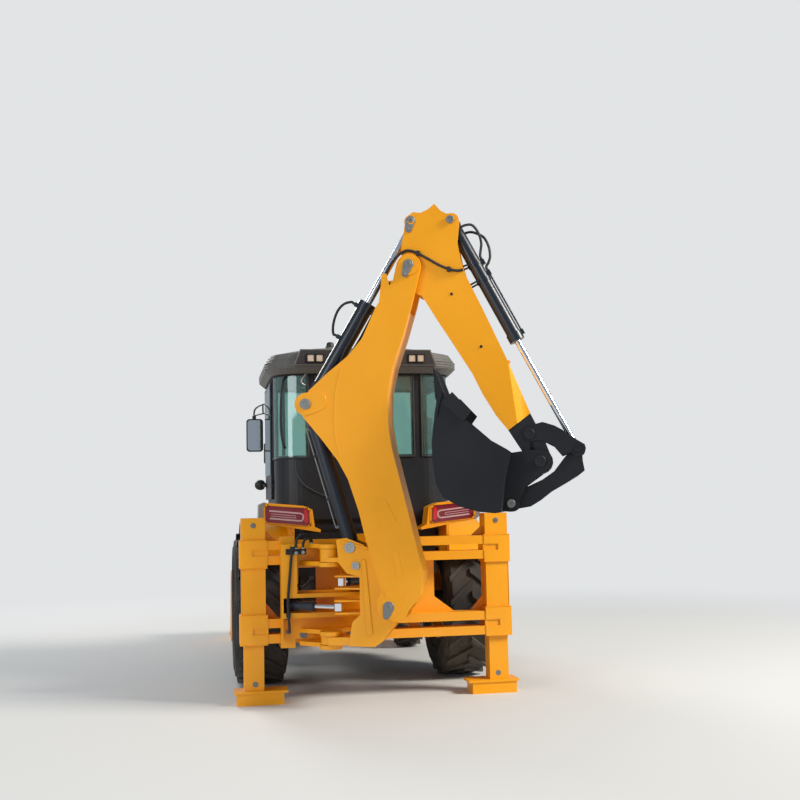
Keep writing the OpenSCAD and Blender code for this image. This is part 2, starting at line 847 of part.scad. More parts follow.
module bar_y(x, y, z, r) {
  translate([x[0], y[0], z])
    rotate([-90, 0, 0])
      cylinder(h = y[1] - y[0], r = r);
}

module rear_axle() {
  color(steel_dark) stand() {
    bar_x([-rear_track + 130, rear_track - 130], 0, rear_tyre_r, 95);
    bar_x([-140, 140], 0, rear_tyre_r, 215);
    both() {
      bar_x([rear_track - 131, rear_track - 30], 0, rear_tyre_r, 60);
      bar_x([590, 640], 0, rear_tyre_r, 190);
      block([300, 380], [-100, 100], [690, 815 - seat]);
    }
  }
}

king_x = 610;

module front_axle() {
  color(steel_dark) stand() {
    difference() {
      union() {
        bar_x([-535, 535], wheelbase, front_tyre_r, 80);
        translate([0, wheelbase, front_tyre_r])
          sphere(r = 140);
        block([-115, 115], [wheelbase - 90, wheelbase + 90], [500, 600 - seat]);
        both() {
          block([500, king_x], [wheelbase - 55, wheelbase + 55], [front_tyre_r + 95, front_tyre_r + 125]);
          block([500, king_x], [wheelbase - 55, wheelbase + 55], [front_tyre_r - 125, front_tyre_r - 95]);
          block([500, 540], [wheelbase - 55, wheelbase + 55], [front_tyre_r - 125, front_tyre_r + 125]);
          for (z = [front_tyre_r + 95, front_tyre_r - 125])
            translate([king_x, wheelbase, z])
              cylinder(h = 30, r = 55);
        }
      }
      both()
        translate([king_x, wheelbase, 200])
          cylinder(h = 500, r = 25 + fit);
    }
  }
}

module knuckle_part() {
  translate([king_x, wheelbase, front_tyre_r - 145])
    cylinder(h = 290, r = 25);
  translate([king_x, wheelbase, front_tyre_r - 90])
    cylinder(h = 180, r = 60);
  bar_x([king_x, front_track - 20], wheelbase, front_tyre_r, 50);
  bar_x([king_x + 30, 700], wheelbase, front_tyre_r, 95);
}

module knuckle_left() {
  color(steel_dark) stand() mirror([1, 0, 0]) knuckle_part();
}

module knuckle_right() {
  color(steel_dark) stand() knuckle_part();
}

flange_w = 14;
flange_h = 16;
rear_rim_r = 340;
rear_rim_w = 400;
front_rim_r = 225;
front_rim_w = 260;

// Rim round the X axis, its outer side towards +X
module rim(r, w, hub, bolts) {
  rotate([0, 90, 0])
    difference() {
      union() {
        difference() {
          cylinder(h = w, r = r, center = true);
          translate([0, 0, 30])
            cylinder(h = w, r = r - 22, center = true);
          translate([0, 0, -w / 2 - 30])
            cylinder(h = w / 2 + 10, r = r - 22);
        }
        for (z = [-w / 2, w / 2 - flange_w])
          translate([0, 0, z])
            cylinder(h = flange_w, r = r + flange_h);
        translate([0, 0, -30])
          cylinder(h = 50, r = r - 1);
        translate([0, 0, -30])
          cylinder(h = 110, r = hub);
      }
      translate([0, 0, 20])
        difference() {
          cylinder(h = w, r = r - 22);
          cylinder(h = w, r = hub, center = true);
        }
      translate([0, 0, -w])
        cylinder(h = w - 30, r = r - 22);
      translate([0, 0, 80])
        cylinder(h = w, r = r - 22);
      for (i = [0:bolts - 1])
        rotate([0, 0, 360 * i / bolts])
          translate([hub + 34, 0, -40])
            cylinder(h = 100, r = 11);
      translate([0, 0, -41])
        cylinder(h = 60, r = axle_bore(hub));
    }
}

function axle_bore(hub) = hub > 100 ? 60 + fit : 50 + fit;

// Tyre round the X axis: a lathed body with raised lugs in two leaning rows
module tyre(r, w, rim_r, rim_w, lugs, lug_w, lean) {
  b = rim_w / 2 - flange_w - seat;
  rotate([0, 90, 0]) {
    rotate_extrude($fn = 72)
      polygon([
        [rim_r + 2 * seat, -b], [rim_r + flange_h + 3, -b], [rim_r + (r - rim_r) * 0.45, -w / 2],
        [r - lug_h - 50, -w / 2 + 12], [r - lug_h - 8, -w / 2 + 60], [r - lug_h, 0],
        [r - lug_h - 8, w / 2 - 60], [r - lug_h - 50, w / 2 - 12], [rim_r + (r - rim_r) * 0.45, w / 2],
        [rim_r + flange_h + 3, b], [rim_r + 2 * seat, b]]);
    for (side = [-1, 1], i = [0:lugs - 1])
      rotate([0, 0, 360 * (i + (side > 0 ? 0.5 : 0)) / lugs])
        lug(r, w, lug_w, side, lean);
  }
}

// One lug: it leans round the tyre from the middle to the shoulder
module lug(r, w, t, side, lean) {
  r0 = r - lug_h - 12;
  a = lean;
  polyhedron(
    points = [
      for (q = [[0, -t / 2, r0], [0, t / 2, r0], [0, t / 2 - 4, r], [0, -t / 2 + 4, r],
                [w / 2 - 30, -t / 2, r0 - 30], [w / 2 - 30, t / 2, r0 - 30],
                [w / 2 - 34, t / 2 - 4, r - 10], [w / 2 - 34, -t / 2 + 4, r - 10]])
        let (b = a * q[0] / (w / 2) + asin(q[1] / r))
          [q[2] * cos(b), q[2] * sin(b) , side * (q[0] - (q[0] == 0 ? 8 : 0))]],
    faces = side < 0
      ? [[0, 1, 2, 3], [7, 6, 5, 4], [4, 5, 1, 0], [5, 6, 2, 1], [6, 7, 3, 2], [7, 4, 0, 3]]
      : [[3, 2, 1, 0], [4, 5, 6, 7], [0, 1, 5, 4], [1, 2, 6, 5], [2, 3, 7, 6], [3, 0, 4, 7]]);
}

module at_wheel(front, side) {
  stand()
    translate([side * (front ? front_track : rear_track), front ? wheelbase : 0,
      front ? front_tyre_r : rear_tyre_r])
      mirror([side < 0 ? 1 : 0, 0, 0])
        children();
}

module rear_rim() {
  rim(rear_rim_r, rear_rim_w, 130, 8);
}

module front_rim() {
  rim(front_rim_r, front_rim_w, 90, 6);
}

module rear_tyre() {
  tyre(rear_tyre_r, rear_tyre_w, rear_rim_r, rear_rim_w, 20, 60, 18);
}

module front_tyre() {
  tyre(front_tyre_r, front_tyre_w, front_rim_r, front_rim_w, 17, 44, 20);
}

module rim_rear_left() { color(paint) at_wheel(false, -1) rear_rim(); }
module rim_rear_right() { color(paint) at_wheel(false, 1) rear_rim(); }
module rim_front_left() { color(paint) at_wheel(true, -1) front_rim(); }
module rim_front_right() { color(paint) at_wheel(true, 1) front_rim(); }
module tyre_rear_left() { color(rubber_c) at_wheel(false, -1) rear_tyre(); }
module tyre_rear_right() { color(rubber_c) at_wheel(false, 1) rear_tyre(); }
module tyre_front_left() { color(rubber_c) at_wheel(true, -1) front_tyre(); }
module tyre_front_right() { color(rubber_c) at_wheel(true, 1) front_tyre(); }

/* Fenders and cab */

cab_rear = -600;
cab_front = 850;
cab_wall = 34;
sill_z = 1510;

// How much higher the fenders stand than over a tyre of 700 mm radius
fender_rise = rear_tyre_r - 700;

module fender() {
  // Arch over the tyre
  difference() {
    bar_x([700, 1120], 0, 700, 800);
    bar_x([650, 1200], 0, 700, 782);
    block([600, 1300], [-900, 900], [-200, 1150]);
    block([600, 1300], [600, 900], [0, 1600]);
  }
  // Inner wall of the arch
  side_plate([678, 701], [[-860, 1200], [-700, 1140], [620, 1140], [620, 1240], [500, 1340],
    [300, 1440], [0, 1490], [-300, 1480], [-600, 1500], [-860, 1500]]);
  // Stays that hold the arch to the cab's lower body
  for (y = [-480, 360])
    block([640 + seat, 679], [y, y + 80], [1230, 1290]);
  // Rear housing of the tail lamp
  rear_plate([-862, -640], [[449, 1402], [560, 1420], [950, 1490], [985, 1520], [980, 1650],
    [940, 1668], [600, 1635], [520, 1600], [500, 1450], [449, 1425]]);
}

module fenders() {
  color(paint) stand() translate([0, 0, fender_rise])
    both()
      difference() {
        fender();
        rear_plate([-880, -846], [[562, 1465], [905, 1500], [925, 1515], [925, 1632], [905, 1640],
          [570, 1608], [554, 1590], [550, 1480]]);
      }
}

module lamps() {
  // Tail lamps in the fenders
  color("darkred") stand() translate([0, 0, fender_rise])
    both()
      rear_plate([-868, -846 - seat], [[565, 1468], [904, 1503], [922, 1518], [922, 1629], [904, 1637],
        [572, 1605], [557, 1588], [553, 1482]]);
}

module work_lamps() {
  // Lamps in the roof's rear and front panels, and head lamps
  color("white") stand()
    both() {
      for (x = [[390, 458], [470, 538]])
        block(x, [-736, -726 - seat], [roof_z - 148, roof_z - 80]);
      block([420, 600], [880.3, 925], [eave_z + 55, eave_z + 120]);
      block([150, 370], [2700.3, 2730], [1010, 1180]);
    }
}

module cab_outline(grow) {
  r = 270 + grow;
  f = 90 + grow;
  x = cab_x + grow;
  y0 = cab_rear - grow;
  y1 = cab_front + grow;
  polygon(concat(
    arc([x - r, y0 + r], r, 0, -90, 10),
    arc([-x + r, y0 + r], r, -90, -180, 10),
    arc([-x + f, y1 - f], f, 180, 90, 4),
    arc([x - f, y1 - f], f, 90, 0, 4)));
}

module cab_ring(z, out, in) {
  translate([0, 0, z[0]])
    linear_extrude(z[1] - z[0])
      difference() {
        cab_outline(out);
        cab_outline(in);
      }
}

door_y = [-180, 720];
door_z = [1700, eave_z - 30];

// Boxes that open the windows: rear, corners, sides and front
module window_boxes(g) {
  block([-430 - g, 430 + g], [cab_rear - 60, cab_rear + 60], [waist_z - g, eave_z - 30 + g]);
  both()
    difference() {
      block([545 - g, cab_x + 60], [cab_rear - 60, -250 + g], [waist_z - g, eave_z - 30 + g]);
      block([400, cab_x - 60], [cab_rear + 120, 0], [0, 4000]);
    }
  block([-700 - g, 700 + g], [cab_front - 60, cab_front + 60], [1760 - g, eave_z - 30 + g]);
}

module cab_shell() {
  color(coal) stand() {
    difference() {
      cab_ring([sill_z, eave_z], 0, -cab_wall);
      window_boxes(0);
      both()
        block([cab_x - 80, cab_x + 60], [door_y[0] + 30, door_y[1] - 30], [door_z[0] + 30, door_z[1] - 30]);
    }
    // Lower body between the wheels, with the floor
    difference() {
      block([-640, 640], [-560, 850], [1000, sill_z + 30]);
      block([-606, 606], [-526, 816], [1030, sill_z + 60]);
    }
    translate([0, 0, sill_z])
      linear_extrude(30)
        difference() {
          cab_outline(-1);
          translate([-606, -526])
            square([1212, 1342]);
        }
    // Hinge lugs of the bonnet
    both()
      difference() {
        side_plate([90, 116], concat([[cab_front - 1, 1560]], arc([hinge_y, hinge_z], 24, -90, 90, 6),
          [[cab_front - 1, 1640]]));
        bar_x([80, 140], hinge_y, hinge_z, hinge_r + fit);
      }
    // Hinge barrels of the doors
    both()
      for (z = [1800, 2600])
        translate([cab_x + 18, door_y[0] - 18, z])
          difference() {
            union() {
              cylinder(h = 40, r = 13);
              translate([-20, -13, 0])
                cube([20, 14, 40]);
            }
            translate([0, 0, -1])
              cylinder(h = 42, r = 6 + fit);
          }
  }
}

module cab_glass() {
  color([0.5, 0.8, 0.8, 0.4]) stand() {
    intersection() {
      cab_ring([waist_z - 22, eave_z - 6], 6.3, seat);
      block([-450, 450], [cab_rear - 60, cab_rear + 60], [0, 4000]);
    }
    both()
      intersection() {
        cab_ring([waist_z - 22, eave_z - 6], 6.3, seat);
        difference() {
          block([522, cab_x + 60], [cab_rear - 60, -236], [0, 4000]);
          block([400, cab_x - 60], [cab_rear + 120, 0], [0, 5000]);
        }
      }
    intersection() {
      cab_ring([1738, eave_z - 6], 6.3, seat);
      block([-720, 720], [cab_front - 60, cab_front + 60], [0, 4000]);
    }
  }
}

module door() {
  x = cab_x + 4;
  difference() {
    block([x, x + 22], door_y, door_z);
    block([x - 10, x + 40], [door_y[0] + 50, door_y[1] - 50], [door_z[0] + 250, door_z[1] - 50]);
  }
  for (z = [1800, 2600])
    translate([cab_x + 18, door_y[0] - 18, z]) {
      translate([0, 0, -25])
        cylinder(h = 90, r = 6);
      translate([0, 0, 42])
        cylinder(h = 24, r = 13);
      translate([-12, 0, 42])
        cube([20, 20, 24]);
    }
  // Handle
  block([x + 21, x + 50], [door_y[1] - 120, door_y[1] - 100], [1830, 1850]);
  block([x + 21, x + 50], [door_y[1] - 260, door_y[1] - 240], [1830, 1850]);
  block([x + 40, x + 52], [door_y[1] - 260, door_y[1] - 100], [1825, 1855]);
}

module door_left() { color(coal) stand() mirror([1, 0, 0]) door(); }
module door_right() { color(coal) stand() door(); }

module door_pane() {
  x = cab_x + 26 + seat;
  block([x, x + 5], [door_y[0] + 30, door_y[1] - 30], [door_z[0] + 230, door_z[1] - 30]);
}

module door_glass_left() { color([0.5, 0.8, 0.8, 0.4]) stand() mirror([1, 0, 0]) door_pane(); }
module door_glass_right() { color([0.5, 0.8, 0.8, 0.4]) stand() door_pane(); }

function round_box(x, y, r, f, n = 6) = concat(
  arc([x - r, y[0] + r], r, 0, -90, n), arc([-x + r, y[0] + r], r, -90, -180, n),
  arc([-x + f, y[1] - f], f, 180, 90, n), arc([x - f, y[1] - f], f, 90, 0, n));

// Layers of the roof: height of its foot, thickness, half width, rear and front edge, rear corner
roof_layers = [
  [eave_z + seat, 20, 840, [-640, 850], 300],
  [eave_z + 50, 60, 893, [-700, 880], 340],
  [roof_z - 66, 10, 850, [-680, 860], 340],
  [roof_z - 10, 10, 600, [-560, 740], 300]
];

module roof() {
  color("darkgray") stand() {
    hull()
      for (l = roof_layers)
        translate([0, 0, l[0]])
          linear_extrude(l[1])
            polygon(round_box(l[2], l[3], l[4], 150));
    // Rear lamp panels and the beacon's foot
    both()
      rear_plate([-726, -600], [[250, roof_z - 177], [655, roof_z - 177], [598, roof_z - 32],
        [250, roof_z - 32]]);
    translate([-267, -200, roof_z - 20])
      cylinder(h = 34, r = 52);
    translate([-267, -200, roof_z])
      cylinder(h = 62, r = 42);
  }
}

module seat() {
  color([0.15, 0.15, 0.15]) stand() {
    block([-90, 90], [-90, 90], [1030, 1420]);
    block([-250, 250], [-260, 240], [1420, 1540]);
    block([-230, 230], [-380, -260 - seat], [1440, 2080]);
    block([-90, 90], [-300, -259], [1400, 1441]);
  }
}

module controls() {
  color(coal) stand() {
    // Front console and steering wheel
    block([-180, 180], [640, 780], [1030, 1640]);
    translate([0, 660, 1639])
      rotate([35, 0, 0]) {
        cylinder(h = 120, r = 25);
        translate([0, 0, 110])
          rotate_extrude()
            translate([175, 0])
              circle(r = 14);
        translate([0, 0, 98])
          block([-170, 170], [-14, 14], [0, 22]);
      }
    // Rear lever console
    block([-280, 280], [-520, -440], [1030, 1760]);
    for (x = [-150, 150])
      translate([x, -470, 1759])
        cylinder(h = 190, r = 12);
    for (x = [-150, 150])
      translate([x, -470, 1970])
        sphere(r = 32);
  }
}

/* Front end */

hinge_y = 965;
hinge_z = 1600;
hinge_r = 12;

module bonnet() {
  color(paint) stand() {
    difference() {
      side_plate([-395, 395], [[985, 1130], [2700, 1130], [2700, 1385], [2600, 1440], [1600, 1560],
        [985, 1580]]);
      side_plate([-375, 375], [[900, 1100], [2680, 1100], [2680, 1373], [2592, 1421], [1600, 1540],
        [900, 1560]]);
      // Grille slots in the front wall
      for (i = [0:5])
        block([-300, 300], [2600, 2800], [1180 + i * 30, 1196 + i * 30]);
    }
    // Hinge ears and pins at the back edge
    both() {
      side_plate([122, 142], concat(arc([hinge_y, hinge_z], 22, 60, 240, 6), [[990, 1570], [1040, 1570]]));
      bar_x([82, 130], hinge_y, hinge_z, hinge_r);
    }
  }
}

module nose() {
  color(coal) stand() {
    both() {
      block([378, 395], [1200, 2700], [900, 1124]);
      block([340, 396], [1150, 1220], [760, 1124]);
    }
    block([-379, 379], [2680, 2700], [901, 1124]);
  }
}

module side_boxes() {
  // Fuel tank with steps on the left, battery box with steps on the right
  color(coal) stand()
    both() {
      block([640, 860], [790, 1250], [480, 920]);
      block([859, 1000], [800, 1100], [480, 500]);
      block([859, 1000], [800, 1100], [760, 780]);
      block([859, 875], [800, 812], [499, 761]);
      block([380, 641], [792, 840], [565, 640]);
    }
}

module exhaust() {
  color(bright) stand() {
    translate([330, 918, 980 + seat])
      cylinder(h = 1720, r = 40);
    translate([330, 918, 1350])
      cylinder(h = 500, r = 55);
    block([310, 350], [cab_front + seat, 890], [1200, 1240]);
  }
}

module mirrors() {
  color(coal) stand()
    both() {
      block([832, 1010], [1180, 1215], [2210, 2560]);
      translate([838, 750, 2630])
        cylinder(h = eave_z - 2630, r = 12);
      strut([838, 750, 2650], [955, 1195, 2650], 9);
      translate([955, 1195, 2540])
        cylinder(h = 130, r = 12);
    }
}

/* Loader */

lift_b = [900, 680];
lift_r = [1750, 1255];
tilt_b = [2150, 1450];
load_pin = [3090, 300];
tilt_r = load_pin + 260 * [cos(84), sin(84)];
arm_x = [520, 620];
arm_mid = 570;
tilt_x = 455;

module loader_arms() {
  color(paint) stand() {
    both() {
      difference() {
        union() {
          side_plate(arm_x, concat(
            arc([arm_y, arm_z], 80, 80, 260, 8),
            [for (q = [[-270, 195], [-130, 147], [150, 147], [240, 5]]) lift_r + q],
            [[2380, 1110], [2560, 1030], [2690, 900], [2950, 380]],
            arc(load_pin, 62, 210, 380, 8),
            [[2810, 1040], [2690, 1200], [2500, 1300], [1900, 1495]]));
          // Ears under the arm for the lift cylinder
          for (x = [[arm_x[0], arm_x[0] + 20], [arm_x[1] - 20, arm_x[1]]])
            side_plate(x, concat(arc(lift_r, 55, 190, 340, 6), [lift_r + [150, 165], lift_r + [-130, 185]]));
        }
        bar_x([500, 640], arm_y, arm_z, 40 + fit);
        bar_x([500, 640], load_pin[0], load_pin[1], 30 + fit);
      }
      // Pin that carries the tilt cylinder, in its ear
      side_plate([arm_x[0], arm_x[0] + 24], concat(arc(tilt_b, 50, 0, 180, 8), [[2040, 1400], [2290, 1330]]));
      bar_x([404, arm_x[0] + 5], tilt_b[0], tilt_b[1], 28);
      bar_x([404, 411], tilt_b[0], tilt_b[1], 40);
      for (x = [arm_x[0] - 1, arm_x[1]])
        bar_x([x, x + 1], lift_r[0], lift_r[1], 26);
    }
    bar_x([-521, 521], 2790, 975, 40);
  }
}

module yz_line(x, a, b) {
  translate([x, a[0], a[1]])
    rotate([ang(a, b) - 90, 0, 0])
      rotate([0, 0, 90])
        children();
}

module lift_barrels() {
  color(coal) stand() both()
    yz_line(arm_mid, lift_b, lift_r)
      barrel(dist(lift_b, lift_r) - 126, 46, 25.3, 44, 60, 28);
}

module lift_rods() {
  color(bright) stand() both()
    yz_line(arm_mid, lift_b, lift_r)
      rod(90, dist(lift_b, lift_r), 25, 42, 54);
}

module tilt_barrels() {
  color(coal) stand() both()
    yz_line(tilt_x, tilt_b, tilt_r)
      barrel(1000, 38, 22.3, 40, 62, 28);
}

module tilt_rods() {
  color(bright) stand() both()
    yz_line(tilt_x, tilt_b, tilt_r)
      rod(420, dist(tilt_b, tilt_r), 22, 36, 60);
}

load_shell = [[4000, 0], [3300, 0], [3215, 50], [3175, 140], [3170, 400], [3200, 620], [3290, 780],
  [3400, 850]];
load_inner = [[3408, 828], [3305, 764], [3220, 612], [3190, 398], [3195, 144], [3228, 65],
  [3306, 20], [4000, 20]];

module loader_bucket() {
  color(paint) stand() {
    side_plate([-loader_x, loader_x], concat(load_shell, load_inner));
    both() {
      side_plate([loader_x - 20, loader_x], concat(load_shell, [[3500, 760], [3780, 240], [4000, 40]]));
      for (x = [[492, 510], [630, 648]])
        side_plate(x, concat(arc(load_pin, 66, 110, 270, 8), [[3178, 150], [3173, 400], [3120, 420]]));
      for (x = [[400, 418], [492, 510]])
        side_plate(x, concat(arc(tilt_r, 50, 20, 200, 6), [[3060, 330], [3150, 150], [3178, 150],
          [3172, 400], [3195, 560]]));
      bar_x([500, 640], load_pin[0], load_pin[1], 30);
      for (x = [[410, tilt_x - 30 - seat], [tilt_x + 30 + seat, 515]])
        bar_x(x, tilt_r[0], tilt_r[1], 22);
    }
    // Bolted cutting edge
    side_plate([-loader_x - 6, loader_x + 6], [[3880, 0], [edge_y, 0], [edge_y, 6], [edge_y - 40, 34],
      [3880, 34]]);
  }
}

chassis();
engine();
rear_axle();
front_axle();
knuckle_left();
knuckle_right();
rear_frame();
fenders();
cab_shell();
cab_glass();
roof();
seat();
controls();
door_left();
door_right();
door_glass_left();
door_glass_right();
bonnet();
nose();
side_boxes();
exhaust();
mirrors();
lamps();
rim_rear_left();
rim_rear_right();
rim_front_left();
rim_front_right();
tyre_rear_left();
tyre_rear_right();
tyre_front_left();
tyre_front_right();
loader_arms();
loader_bucket();
lift_barrels();
lift_rods();
tilt_barrels();
tilt_rods();
leg_left();
leg_right();
carriage();
swing_rams();
swing_rod_left();
swing_rod_right();
swing_post();
boom();
boom_barrel();
boom_rod();
dipper();
dipper_barrel();
dipper_rod();
hoe_bucket();
bucket_barrel();
bucket_rod();
tipping_links();
bucket_link();
work_lamps();
boom_hoses();
dipper_hoses();
ram_hose();
carriage_hoses();
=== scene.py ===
"""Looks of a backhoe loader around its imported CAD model."""

import functools
import json
import math

import bmesh
import bpy
from mathutils import Matrix, Vector


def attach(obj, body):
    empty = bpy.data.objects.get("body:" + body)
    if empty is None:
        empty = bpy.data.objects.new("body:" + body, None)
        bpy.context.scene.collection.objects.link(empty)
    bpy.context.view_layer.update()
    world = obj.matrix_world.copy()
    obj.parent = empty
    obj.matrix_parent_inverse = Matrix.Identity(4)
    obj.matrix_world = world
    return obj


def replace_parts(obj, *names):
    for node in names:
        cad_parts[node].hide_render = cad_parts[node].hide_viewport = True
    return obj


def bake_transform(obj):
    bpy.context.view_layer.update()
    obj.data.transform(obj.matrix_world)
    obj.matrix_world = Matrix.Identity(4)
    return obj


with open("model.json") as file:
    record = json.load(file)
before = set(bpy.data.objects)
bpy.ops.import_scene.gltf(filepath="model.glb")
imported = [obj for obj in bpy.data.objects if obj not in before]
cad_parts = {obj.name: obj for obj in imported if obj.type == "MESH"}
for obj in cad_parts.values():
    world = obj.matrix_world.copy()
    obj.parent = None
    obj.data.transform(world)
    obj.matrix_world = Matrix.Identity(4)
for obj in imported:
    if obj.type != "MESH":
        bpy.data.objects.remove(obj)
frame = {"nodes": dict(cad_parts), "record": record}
NODES = frame["nodes"]
RECORD = frame["record"]
JOINTS = {joint["name"]: joint for joint in RECORD["behaviour"]["joints"]}


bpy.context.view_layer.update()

MM = 0.001
SIDES = (-1, 1)
WORDS = ((-1, "left"), (1, "right"))
UP, REAR, FORE, SIDE = Vector((0, 0, 1)), Vector((0, -1, 0)), Vector((0, 1, 0)), Vector((1, 0, 0))

SLEW = Vector(JOINTS["slew"]["pos_m"])
# Middle of the rear axle, where the machine's own sizes are measured from, as seen from the swing post's axis
AXLE_BESIDE, AXLE_AHEAD = 0.444, 1.510
AXLE = Vector((SLEW.x + AXLE_BESIDE, SLEW.y + AXLE_AHEAD, 0))
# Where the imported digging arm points, from the machine's right towards its rear
HEADING = math.radians(-19)


def at(x, y, z):
    """A point in the machine's own millimetres, as metres in the frame."""
    return AXLE + Vector((x, y, z)) * MM


def places(points, side=1):
    """Points in the machine's own millimetres, on the side they are given for or on the other one."""
    return [at(side * x, y, z) for x, y, z in points]


def line_of(x, points):
    """Points given by y and z in the plane of one x."""
    return [at(x, y, z) for y, z in points]


HOE_OUT = Vector((math.cos(HEADING), math.sin(HEADING), 0))
HOE_ACROSS = Vector((-math.sin(HEADING), math.cos(HEADING), 0))


def hoe(out, across, up):
    """A point on the digging arm: out from the swing post, across the arm and up, in millimetres."""
    base = Vector((SLEW.x, SLEW.y, 0))
    return base + (HOE_OUT * out + HOE_ACROSS * across + Vector((0, 0, up))) * MM


def on_arm(place):
    """A point on the middle plane of the digging arm."""
    return hoe(place[0], 0, place[1])


# Camera, floor and light


# Fitted to the photograph: place in millimetres, turns in degrees, focal length in its pixels
EYE, YAW, PITCH, ROLL, FOCAL, PICTURE = (-1458, -10531, 1652), -10.19, 5.29, -1.19, 1100, 800


def add_camera():
    """The photograph's camera: behind the machine, a little to its left, near head height."""
    yaw, pitch, roll = (math.radians(angle) for angle in (YAW, PITCH, ROLL))
    turn = Matrix.Rotation(yaw, 3, "Z") @ Matrix.Rotation(pitch, 3, "X")
    right, ahead = turn @ Vector((1, 0, 0)), turn @ Vector((0, 1, 0))
    up = right.cross(ahead)
    side = right * math.cos(roll) + up * math.sin(roll)
    top = up * math.cos(roll) - right * math.sin(roll)
    data = bpy.data.cameras.new("camera")
    data.sensor_width = 36
    data.lens = data.sensor_width * FOCAL / PICTURE
    data.clip_end = 400
    camera = bpy.data.objects.new("camera", data)
    bpy.context.scene.collection.objects.link(camera)
    basis = Matrix((side, top, -ahead)).transposed().to_4x4()
    camera.matrix_world = Matrix.Translation(at(*EYE)) @ basis
    bpy.context.scene.camera = camera


def linear(red, green, blue):
    """A colour given in screen values from 0 to 255, as linear values."""
    values = [c / 255 for c in (red, green, blue)]
    return tuple(v / 12.92 if v <= 0.04045 else ((v + 0.055) / 1.055) ** 2.4 for v in values) + (1.0,)


def tree_of(owner):
    """An owner's node tree, emptied."""
    owner.use_nodes = True
    owner.node_tree.nodes.clear()
    return owner.node_tree


def add(tree, kind, **values):
    """A node with its properties and input values set by name."""
    node = tree.nodes.new(kind)
    for name, value in values.items():
        if hasattr(node, name):
            setattr(node, name, value)
        else:
            node.inputs[name.replace("_", " ")].default_value = value
    return node


def join(tree, *links):
    """Links between sockets, given as (output, input) pairs."""
    for first, second in links:
        tree.links.new(first, second)


PALE = linear(226, 228, 230)
# Metres from the middle where the floor starts to fade and is gone
FADE_START, FADE_END = 4, 10.5


def add_world():
    """An even pale sky that lights the object softly and shows as a plain backdrop."""
    world = bpy.data.worlds.new("studio")
    bpy.context.scene.world = world
    tree = tree_of(world)
    path = add(tree, "ShaderNodeLightPath")
    seen = add(tree, "ShaderNodeMath", operation="MAXIMUM")
    light = add(tree, "ShaderNodeBackground", Color=linear(214, 226, 240), Strength=0.42)
    backdrop = add(tree, "ShaderNodeBackground", Color=PALE, Strength=1.0)
    mix = add(tree, "ShaderNodeMixShader")
    out = add(tree, "ShaderNodeOutputWorld")
    join(tree, (path.outputs["Is Camera Ray"], seen.inputs[0]), (path.outputs["Is Transmission Ray"], seen.inputs[1]),
         (seen.outputs[0], mix.inputs[0]), (light.outputs[0], mix.inputs[1]), (backdrop.outputs[0], mix.inputs[2]),
         (mix.outputs[0], out.inputs[0]))


def add_floor():
    """A wide pale floor that fades into the backdrop."""
    bm = bmesh.new()
    bmesh.ops.create_circle(bm, cap_ends=True, segments=96, radius=90)
    mesh = bpy.data.meshes.new("floor")
    bm.to_mesh(mesh)
    bm.free()
    floor = bpy.data.objects.new("floor", mesh)
    bpy.context.scene.collection.objects.link(floor)
    material = bpy.data.materials.new("pale_floor")
    tree = tree_of(material)
    place = add(tree, "ShaderNodeTexCoord")
    length = add(tree, "ShaderNodeVectorMath", operation="LENGTH")
    fade = add(tree, "ShaderNodeMapRange", interpolation_type="SMOOTHSTEP")
    fade.inputs["From Min"].default_value = FADE_START
    fade.inputs["From Max"].default_value = FADE_END
    surface = add(tree, "ShaderNodeBsdfPrincipled", Base_Color=linear(205, 205, 203), Roughness=0.85)
    far = add(tree, "ShaderNodeEmission", Color=PALE, Strength=1.0)
    mix = add(tree, "ShaderNodeMixShader")
    out = add(tree, "ShaderNodeOutputMaterial")
    join(tree, (place.outputs["Object"], length.inputs[0]), (length.outputs["Value"], fade.inputs["Value"]),
         (fade.outputs["Result"], mix.inputs[0]), (surface.outputs[0], mix.inputs[1]),
         (far.outputs[0], mix.inputs[2]), (mix.outputs[0], out.inputs[0]))
    mesh.materials.append(material)


LIT_MIDDLE = Vector((0, 0, 1.6))


def add_light(name, place, size, power, colour):
    """A round lamp at a place in metres, aimed at the middle of the machine."""
    data = bpy.data.lights.new(name, "AREA")
    data.shape = "DISK"
    data.size = size
    data.energy = power
    data.color = colour
    light = bpy.data.objects.new(name, data)
    bpy.context.scene.collection.objects.link(light)
    light.location = place
    light.rotation_euler = (LIT_MIDDLE - Vector(place)).to_track_quat("-Z", "Y").to_euler()


bpy.context.scene.view_settings.view_transform = "Standard"
add_camera()
add_world()
add_floor()
add_light("key", (12, -9, 11), 5, 3600, (1.0, 0.95, 0.86))
add_light("fill", (-13, -11, 6), 8, 900, (0.93, 0.96, 1.0))
add_light("far_side", (-6, 14, 9), 7, 1500, (1.0, 0.98, 0.94))


# Shader groups


def shader_group(name, inputs, outputs):
    """An empty shader group with its named inputs and outputs, and its two end nodes."""
    group = bpy.data.node_groups.new(name, "ShaderNodeTree")
    kinds = {"colour": "NodeSocketColor", "value": "NodeSocketFloat", "vector": "NodeSocketVector"}
    for label, kind, default in inputs:
        socket = group.interface.new_socket(name=label, in_out="INPUT", socket_type=kinds[kind])
        if default is not None:
            socket.default_value = default
    for label, kind in outputs:
        group.interface.new_socket(name=label, in_out="OUTPUT", socket_type=kinds[kind])
    return group, group.nodes.new("NodeGroupInput"), group.nodes.new("NodeGroupOutput")


def noise(tree, place, scale, detail, rough=0.55):
    """Fractal noise at a scale given in waves to the metre."""
    node = add(tree, "ShaderNodeTexNoise", Scale=scale, Detail=detail, Roughness=rough)
    tree.links.new(place, node.inputs["Vector"])
    return node.outputs["Fac"]


